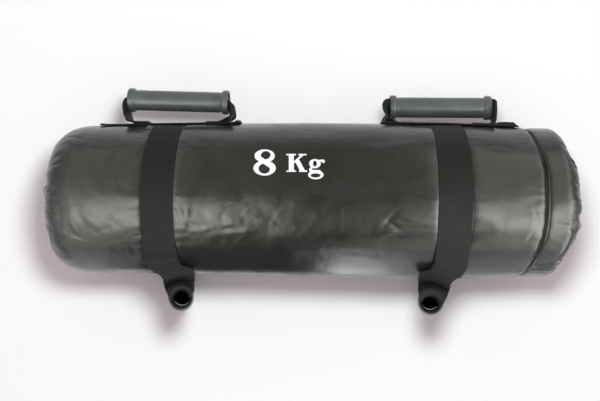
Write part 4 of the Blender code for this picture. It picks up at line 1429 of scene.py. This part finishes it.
for side, x in FAR_X.items():
    full = max(float(radius_at(x - FAR_FOOT)), float(radius_at(x + FAR_FOOT)))
    where = Vector((x, full + PIVOT_LIFT, float(centre_z(x))))
    level = frame_of(Vector((1, 0, 0)), Vector((0, 1, 0)), where)
    place = level @ Matrix.Rotation(FAR_REST[side], 4, "X")
    tube_place = place @ Matrix.Translation((0.0, FAR_LEVER, 0.0)) @ Matrix.Rotation(FAR_YAW[side], 4, "Z")
    grip_tube("tube_grip_far_" + side, tube_place, "tube_far_" + side, "grip_far_" + side)

    def far_turn(p, away, level=level, droop=FAR_REST[side]):
        # A drooping handle twists its webbing between the sewn feet and the tube.
        share = float(ease(away, -0.004, 0.007))
        return level @ (Matrix.Rotation(droop * share, 4, "X") @ p)

    web = ribbon("handle_webbing_far_" + side, far_path(side), 170, far_turn)
    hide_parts("handle_web_far_" + side)
    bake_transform(web)
    spots = []
    for sign in (-1, 1):
        for q in np.arange(0.0385, 0.0500, 0.0034):
            rise = float(radius_at(x + sign * q)) - full - PIVOT_LIFT + 0.0003 + WEB_THICK + 0.00145 + 0.0001
            for w in (-0.0160, 0.0160):
                spots.append(((sign * q, rise - 5.2 * w * w, w), (1, 0, 0)))
        for w in np.arange(-0.0145, 0.0150, 0.0034):
            for q in (0.0382, 0.0480):
                rise = float(radius_at(x + sign * q)) - full - PIVOT_LIFT + 0.0003 + WEB_THICK + 0.00145 + 0.0001
                spots.append(((sign * q, rise - 5.2 * w * w, w), (0, 0, 1)))
    foot_stitches("foot_stitching_far_" + side, level, spots, (0, 1, 0))

for side, x in RING_X.items():
    reach = float(radius_at(x)) + PIVOT_LIFT
    where = Vector((x, -reach * math.cos(NEAR_FOOT_ANGLE), float(centre_z(x))))
    level = frame_of(Vector((0, 0, 1)), Vector((0, -1, 0)), where)
    place = level @ Matrix.Rotation(NEAR_REST[side], 4, "X")
    tube_place = (
        place
        @ Matrix.Translation((-NEAR_SLIP, NEAR_LEVER, 0.0))
        @ Matrix.Rotation(-NEAR_TWIST[side], 4, "Y")
        @ Matrix.Rotation(NEAR_LEAN[side], 4, "Z")
    )
    grip_tube("tube_grip_near_" + side, tube_place, "tube_near_" + side, "grip_near_" + side)

    def near_turn(p, away, level=level, swing=NEAR_REST[side], twist=NEAR_TWIST[side]):
        share = float(ease(away, 0.006, 0.026)) + 0.16 * math.exp(-(((away - 0.027) / 0.007) ** 2))
        middle = Vector((-NEAR_SLIP, 0.0, 0.0))
        q = middle + Matrix.Rotation(-twist * share, 3, "Y") @ (p - middle)
        return level @ (Matrix.Rotation(swing * float(ease(away, 0.002, 0.022)), 4, "X") @ q)

    web = ribbon("handle_webbing_near_" + side, near_path(side), 210, near_turn)
    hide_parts("handle_web_near_" + side)
    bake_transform(web)

# The laps of webbing that hold the standing handles' feet.
for side, x in RING_X.items():
    for level_name, sign in (("upper", -1), ("lower", 1)):
        middle = math.pi + sign * NEAR_FOOT_ANGLE
        reach = 0.0135 / float(radius_at(x))
        rows = 24
        a = np.linspace(middle - reach, middle + reach, rows)
        lift = -0.0004 + WEB_THICK / 2 + broad_dents(np.full(rows, x), a)
        centre = side_point(np.full(rows, x), a, lift)
        normal = np.stack([np.zeros(rows), np.cos(a), np.sin(a)], -1)
        width_dir = np.tile([1.0, 0.0, 0.0], (rows, 1))
        inward = np.linspace(0, 1, rows) if level_name == "upper" else np.linspace(1, 0, rows)
        thin = WEB_THICK * (0.28 + 0.72 * ease(inward, 0.0, 0.5))
        centre = centre - normal * ((WEB_THICK - thin) / 2)[:, None]
        made = webbing_strip(f"anchor_lap_{side}_{level_name}", centre, width_dir, normal, np.full(rows, WEB_WIDTH / 2 - 0.0001), a * 0.0945, thick=thin, cols=16)
        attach(made, "bag")
        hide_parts(f"anchor_patch_{side}_{level_name}")
        spots = []
        edge_r = float(radius_at(x)) - 0.0004 + WEB_THICK + 0.00025

        def on_lap(dx, t):
            bump_here = float(broad_dents(np.array([x]), np.array([t]))[0])
            return (x + dx, (edge_r + bump_here) * math.cos(t), float(centre_z(x)) + (edge_r + bump_here) * math.sin(t))

        for q in np.linspace(-0.0155, 0.0155, 10):
            for t in (middle + reach * 0.78,) if level_name == "upper" else (middle - reach * 0.78, middle + reach * 0.78):
                spots.append((on_lap(q, t), (1, 0, 0), (0, math.cos(t), math.sin(t))))
        for t in np.linspace(middle - reach * 0.7, middle + reach * 0.7, 6):
            for q in (-0.0155, 0.0155):
                spots.append((on_lap(q, t), (0, -math.sin(t), math.cos(t)), (0, math.cos(t), math.sin(t))))
        stitches(f"anchor_stitching_{side}_{level_name}", spots, "bag")


# ---------------------------------------------------------------- weight mark
def oval(p, cx, cy, rx, ry, turn=0.0):
    """Signed: above 0 inside, about in the units of the drawing."""
    c, s = math.cos(turn), math.sin(turn)
    dx, dy = p[..., 0] - cx, p[..., 1] - cy
    u, v = (c * dx + s * dy) / rx, (-s * dx + c * dy) / ry
    return (1 - np.sqrt(u * u + v * v)) * min(rx, ry)


def stroke(p, ax, ay, bx, by, half):
    a, b = np.array([ax, ay]), np.array([bx, by])
    t = np.clip(((p - a) @ (b - a)) / ((b - a) @ (b - a)), 0, 1)
    return half - np.linalg.norm(p - a - t[..., None] * (b - a), axis=-1)


def slab(p, points):
    """Inside of a convex outline, in order round it."""
    pts = np.array(points, float)
    centre = pts.mean(0)
    out = np.full(p.shape[:-1], 1e9)
    for a, b in zip(pts, np.roll(pts, -1, axis=0)):
        n = np.array([b[1] - a[1], a[0] - b[0]])
        n /= np.linalg.norm(n)
        if (centre - a) @ n < 0:
            n = -n
        out = np.minimum(out, (p - a) @ n)
    return out


def join(*parts):
    out = parts[0]
    for q in parts[1:]:
        out = np.maximum(out, q)
    return out


def less(shape, *holes):
    for q in holes:
        shape = np.minimum(shape, -q)
    return shape


def eight(p):
    body = join(oval(p, 264.7, 156.0, 10.1, 6.5), oval(p, 264.6, 168.2, 11.2, 7.4))
    upper = oval(p, 265.7, 155.3, 4.9, 4.1, -0.25)
    lower = oval(p, 264.3, 168.7, 5.7, 5.0, 0.15)
    spine = stroke(p, 258.9, 158.2, 271.6, 166.4, 2.3)
    return join(less(body, upper, lower), np.minimum(spine, body))


def kay(p):
    return join(
        slab(p, [(288.8, 154.4), (293.9, 154.4), (293.9, 171.7), (288.8, 171.7)]),
        slab(p, [(286.4, 154.0), (296.0, 154.0), (296.0, 155.4), (286.4, 155.4)]),
        slab(p, [(286.7, 170.5), (296.2, 170.5), (296.2, 171.9), (286.7, 171.9)]),
        stroke(p, 293.0, 163.2, 302.6, 155.0, 0.85),
        slab(p, [(298.5, 154.0), (306.6, 154.0), (306.6, 155.4), (298.5, 155.4)]),
        slab(p, [(294.9, 161.0), (298.2, 158.2), (305.6, 171.6), (300.4, 171.6)]),
        slab(p, [(298.9, 170.5), (307.2, 170.5), (307.2, 171.9), (298.9, 171.9)]),
    )


def gee(p):
    bowl = less(oval(p, 314.9, 163.7, 5.8, 4.5), oval(p, 314.9, 163.7, 1.9, 2.9))
    ear = join(stroke(p, 318.9, 161.1, 322.6, 160.4, 0.85), oval(p, 323.2, 161.4, 1.7, 1.6))
    link = join(stroke(p, 312.4, 167.0, 310.2, 169.4, 1.0), stroke(p, 310.2, 169.4, 311.4, 171.2, 1.2))
    loop = less(oval(p, 315.8, 174.8, 7.7, 4.5), oval(p, 315.6, 175.5, 4.9, 2.1))
    return join(bowl, ear, link, np.maximum(loop, slab(p, [(311.0, 170.0), (320.2, 170.2), (322.0, 173.2), (310.6, 172.9)])))


def glyph(name, shape, box, step, skin_tree):
    """A thin raised print, cut out by a drawn shape and laid on the skin as the camera sees it."""
    x0, y0, x1, y1 = box
    nx, ny = int((x1 - x0) / step) + 1, int((y1 - y0) / step) + 1
    gx, gy = np.meshgrid(x0 + step * np.arange(nx), y0 + step * np.arange(ny), indexing="ij")
    value = shape(np.stack([gx, gy], -1))
    spots, index, faces = [], {}, []

    def corner(i, j):
        key = (i, j)
        if key not in index:
            index[key] = len(spots)
            spots.append((gx[i, j], gy[i, j]))
        return index[key]

    def between(i, j, k, m):
        key = tuple(sorted(((i, j), (k, m))))
        if key not in index:
            a, b = value[i, j], value[k, m]
            t = min(0.92, max(0.08, a / (a - b)))
            index[key] = len(spots)
            spots.append((gx[i, j] + t * (gx[k, m] - gx[i, j]), gy[i, j] + t * (gy[k, m] - gy[i, j])))
        return index[key]

    for i in range(nx - 1):
        for j in range(ny - 1):
            ring = [(i, j), (i + 1, j), (i + 1, j + 1), (i, j + 1)]
            inside = [value[q] > 0 for q in ring]
            if not any(inside):
                continue
            loop = []
            for k in range(4):
                m = (k + 1) % 4
                if inside[k]:
                    loop.append(corner(*ring[k]))
                if inside[k] != inside[m]:
                    loop.append(between(*ring[k], *ring[m]))
            if inside == [True, False, True, False] or inside == [False, True, False, True]:
                # Two corners that touch across the cell: a triangle each.
                n = len(loop)
                if inside[0]:
                    faces.append((loop[0], loop[1], loop[-1]))
                    faces.append((loop[2], loop[3], loop[4]))
                else:
                    faces.append((loop[0], loop[1], loop[2]))
                    faces.append((loop[3], loop[4], loop[5]))
                continue
            if len(loop) >= 3:
                faces.append(tuple(loop))
    top, under = [], []
    for px, py in spots:
        hit, normal, _, _ = skin_tree.ray_cast(CAM_AT, sight(px, py))
        top.append(hit + normal * 0.00026)
        under.append(hit - normal * 0.00020)
    n = len(spots)
    edges = {}
    for f in faces:
        for a, b in zip(f, f[1:] + f[:1]):
            edges[(a, b)] = edges.get((a, b), 0) + 1
    walls = [(b, a, a + n, b + n) for (a, b) in edges if (b, a) not in edges]
    solid = faces + [tuple(k + n for k in reversed(f)) for f in faces] + walls
    made = outwards(mesh_object(name, top + under, solid, INK, sharp=40))
    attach(made, "bag")
    return made


bpy.context.view_layer.update()
skin_verts = [v.co.copy() for v in body_skin.data.vertices]
skin_tree = BVHTree.FromPolygons(skin_verts, [tuple(f.vertices) for f in body_skin.data.polygons])
STEP = 0.36
glyph("mark_eight", eight, (252.5, 148.5, 277.0, 176.5), STEP, skin_tree)
glyph("mark_k", kay, (285.4, 153.0, 308.4, 173.0), STEP, skin_tree)
glyph("mark_g", gee, (307.0, 158.0, 326.0, 180.4), STEP, skin_tree)


# ---------------------------------------------------------------- floor, light, surroundings
def stage_plane(name, corners, material):
    mesh = bpy.data.meshes.new(name)
    mesh.from_pydata([tuple(c) for c in corners], [], [tuple(range(len(corners)))])
    mesh.materials.append(material)
    made = bpy.data.objects.new(name, mesh)
    bpy.context.scene.collection.objects.link(made)
    return made


def floor_material():
    made, tree, bsdf = shader("pale_floor", (0.90, 0.90, 0.90), 0.9)
    bsdf.inputs["Specular IOR Level"].default_value = 0.0
    at = coordinates(tree)
    soft = noise_node(tree, at, 3.0, 3.0)
    tree.links.new(ramp(tree, soft, [(0.3, (0.895, 0.895, 0.893)), (0.7, (0.905, 0.905, 0.905))]), bsdf.inputs["Base Color"])
    return made


FLOOR_Z = -0.0004
stage_plane("floor", [(-6, -6, FLOOR_Z), (6, -6, FLOOR_Z), (6, 6, FLOOR_Z), (-6, 6, FLOOR_Z)], floor_material())


def mirrored(x, tilt):
    """Where the bag's skin, at x and tilted from level towards -Y, sends the camera's sight line: a point and a direction."""
    zc, r = float(centre_z(x)), float(radius_at(x))
    p = Vector((x, -r * math.sin(tilt), zc + r * math.cos(tilt)))
    n = Vector((0.0, -math.sin(tilt), math.cos(tilt)))
    d = (p - CAM_AT).normalized()
    return p, (d - 2 * d.dot(n) * n).normalized()


def card_material(name, colour, along, up, base):
    """Light of a studio card: a pattern along the bag times one from top to bottom, with slow unevenness."""
    made = bpy.data.materials.new(name)
    made.use_nodes = True
    tree = made.node_tree
    tree.nodes.clear()
    uv = coordinates(tree, "UV")
    split = node(tree, "ShaderNodeSeparateXYZ")
    tree.links.new(uv, split.inputs[0])
    soft = noise_node(tree, uv, 7.0, 3.0)
    first = ramp(tree, split.outputs["X"], [(w, (v, v, v)) for w, v in along])
    second = ramp(tree, split.outputs["Y"], [(w, (v, v, v)) for w, v in up])
    both = math_node(tree, "MULTIPLY", first, second)
    uneven = math_node(tree, "MULTIPLY", both, spread_range(tree, soft, 0.75, 1.25, 0.3, 0.7))
    glow = tree.nodes.new("ShaderNodeEmission")
    glow.inputs["Color"].default_value = (*colour, 1.0)
    tree.links.new(math_node(tree, "MULTIPLY", uneven, base), glow.inputs["Strength"])
    out = tree.nodes.new("ShaderNodeOutputMaterial")
    tree.links.new(glow.outputs[0], out.inputs[0])
    return made


def card(name, x_range, tilt_range, reach, material, cols=25, rows=17):
    """A studio card that only shows as a reflection, bent so that its two edges follow the bag."""
    verts, uvs = [], []
    for i in range(rows):
        tilt = math.radians(tilt_range[0] + (tilt_range[1] - tilt_range[0]) * i / (rows - 1))
        for j in range(cols):
            x = x_range[0] + (x_range[1] - x_range[0]) * j / (cols - 1)
            p, d = mirrored(x, tilt)
            verts.append(reach(p, d))
            uvs.append((j / (cols - 1), i / (rows - 1)))
    ob = mesh_object(name, verts, grid_faces(rows, cols, wrap_cols=False), material, uvs)
    ob.visible_camera = ob.visible_diffuse = ob.visible_shadow = False
    ob.visible_transmission = ob.visible_volume_scatter = False
    return ob


def far_off(p, d):
    return p + d * 2.0


def to_wall(p, d):
    """To a wall on the -Y side or to just above the floor, whichever comes first."""
    wall = (-0.52 - p.y) / d.y if d.y < -1e-6 else 1e9
    down = (0.0012 - p.z) / d.z if d.z < -1e-6 else 1e9
    return p + d * min(wall, down)


# Left to right along the bag; then from its top line down towards the near side.
window = card_material(
    "window_light",
    (1.0, 1.0, 0.965),
    [(0.0, 0.95), (0.10, 1.02), (0.25, 0.98), (0.30, 0.74), (0.33, 0.69), (0.375, 0.62), (0.415, 0.16), (0.45, 0.0), (0.61, 0.0), (0.65, 0.12), (0.69, 0.28), (0.76, 0.30), (0.80, 0.28), (0.835, 0.42), (0.865, 0.88), (0.91, 1.15), (1.0, 1.9)],
    [(0.0, 0.22), (0.22, 0.66), (0.50, 1.0), (0.74, 0.78), (0.90, 0.38), (1.0, 0.22)],
    8.0,
)
card("window_card", (-0.345, 0.335), (-3.0, 27.0), far_off, window)
side_fill = card_material(
    "side_fill",
    (1.0, 1.0, 0.95),
    [(0.0, 0.9), (0.18, 0.9), (0.24, 0.55), (0.29, 0.04), (0.50, 0.04), (0.58, 0.35), (0.64, 0.60), (0.70, 0.9), (0.90, 1.0), (1.0, 1.25)],
    [(0.0, 1.0), (1.0, 0.9)],
    2.2,
)
card("side_fill_card", (-0.345, 0.335), (27.1, 36.0), far_off, side_fill)
upper_light = card_material(
    "upper_light",
    (1.0, 1.0, 0.94),
    [(0.0, 1.25), (0.18, 0.85), (0.34, 0.36), (0.66, 0.34), (0.80, 0.95), (0.88, 1.5), (1.0, 1.75)],
    [(0.0, 1.0), (1.0, 1.0)],
    1.15,
)
card("upper_card", (-0.345, 0.335), (-40.0, -3.1), far_off, upper_light)
lower_light = card_material(
    "lower_light",
    (0.97, 1.0, 0.99),
    [(0.0, 0.68), (0.13, 0.64), (0.22, 0.06), (0.500, 0.04), (0.528, 0.42), (0.556, 1.85), (0.585, 1.85), (0.62, 1.45), (0.65, 0.92), (0.675, 0.46), (0.90, 0.55), (1.0, 0.90)],
    [(0.0, 0.85), (0.254, 1.25), (0.583, 1.12), (0.887, 0.80), (1.0, 0.70)],
    2.1,
)
card("lower_card", (-0.345, 0.335), (36.1, 66.0), to_wall, lower_light)


def end_card(name, side, material, lean=(2.0, 52.0), tilt=(-50.0, 60.0), cols=21, rows=21):
    """The same for a rounded end: leaning out along the bag in one direction and tilted round it in the other."""
    verts, uvs = [], []
    x = side * 0.292
    for i in range(rows):
        t = math.radians(tilt[0] + (tilt[1] - tilt[0]) * i / (rows - 1))
        for j in range(cols):
            phi = math.radians(lean[0] + (lean[1] - lean[0]) * j / (cols - 1))
            n = Vector((side * math.sin(phi), -math.cos(phi) * math.sin(t), math.cos(phi) * math.cos(t)))
            zc = float(centre_z(x))
            p = Vector((x, -0.085 * math.sin(t), zc + 0.085 * math.cos(t)))
            d = (p - CAM_AT).normalized()
            d = (d - 2 * d.dot(n) * n).normalized()
            if d.z < 0.02:
                d = Vector((d.x, d.y, 0.02)).normalized()
            verts.append(p + d * 2.0)
            uvs.append((j / (cols - 1), i / (rows - 1)))
    ob = mesh_object(name, verts, grid_faces(rows, cols, wrap_cols=False), material, uvs)
    ob.visible_camera = ob.visible_diffuse = ob.visible_shadow = False
    ob.visible_transmission = ob.visible_volume_scatter = False


end_light = card_material(
    "end_light",
    (1.0, 1.0, 0.96),
    [(0.0, 1.0), (0.20, 0.62), (0.45, 0.40), (1.0, 0.30)],
    [(0.0, 0.26), (0.20, 0.30), (0.34, 0.47), (0.47, 0.75), (0.60, 1.0), (0.72, 0.55), (1.0, 0.40)],
    4.2,
)
end_card("left_end_card", -1, end_light)
zip_end_light = card_material(
    "zip_end_light",
    (1.0, 1.0, 0.96),
    [(0.0, 1.0), (0.10, 2.3), (0.24, 2.5), (0.38, 1.0), (0.55, 0.5), (1.0, 0.34)],
    [(0.0, 0.22), (0.38, 0.26), (0.47, 0.75), (0.60, 1.0), (0.72, 0.55), (1.0, 0.40)],
    4.2,
)
end_card("right_end_card", 1, zip_end_light)


def soft_lamp(name, place, radius, power, colour):
    """A round lamp whose light doesn't fade with distance, as if it were one of a wide, even bank."""
    lamp = bpy.data.lights.new(name, "POINT")
    lamp.shadow_soft_size = radius
    lamp.energy = power
    lamp.color = colour
    lamp.use_nodes = True
    tree = lamp.node_tree
    fade = tree.nodes.new("ShaderNodeLightFalloff")
    fade.inputs["Strength"].default_value = 1.0
    glow = next(n for n in tree.nodes if n.bl_idname == "ShaderNodeEmission")
    tree.links.new(fade.outputs["Constant"], glow.inputs["Strength"])
    made = bpy.data.objects.new(name, lamp)
    made.location = place
    made.visible_glossy = False
    bpy.context.scene.collection.objects.link(made)
    return made


soft_lamp("key", (0.054, 0.150, 0.80), 0.080, 27.3, (0.905, 1.0, 0.965))

world = bpy.data.worlds.new("studio")
bpy.context.scene.world = world
world.use_nodes = True
world.node_tree.nodes["Background"].inputs["Color"].default_value = (1.0, 0.86, 0.91, 1.0)
world.node_tree.nodes["Background"].inputs["Strength"].default_value = 0.58
bpy.context.scene.view_settings.view_transform = "Standard"
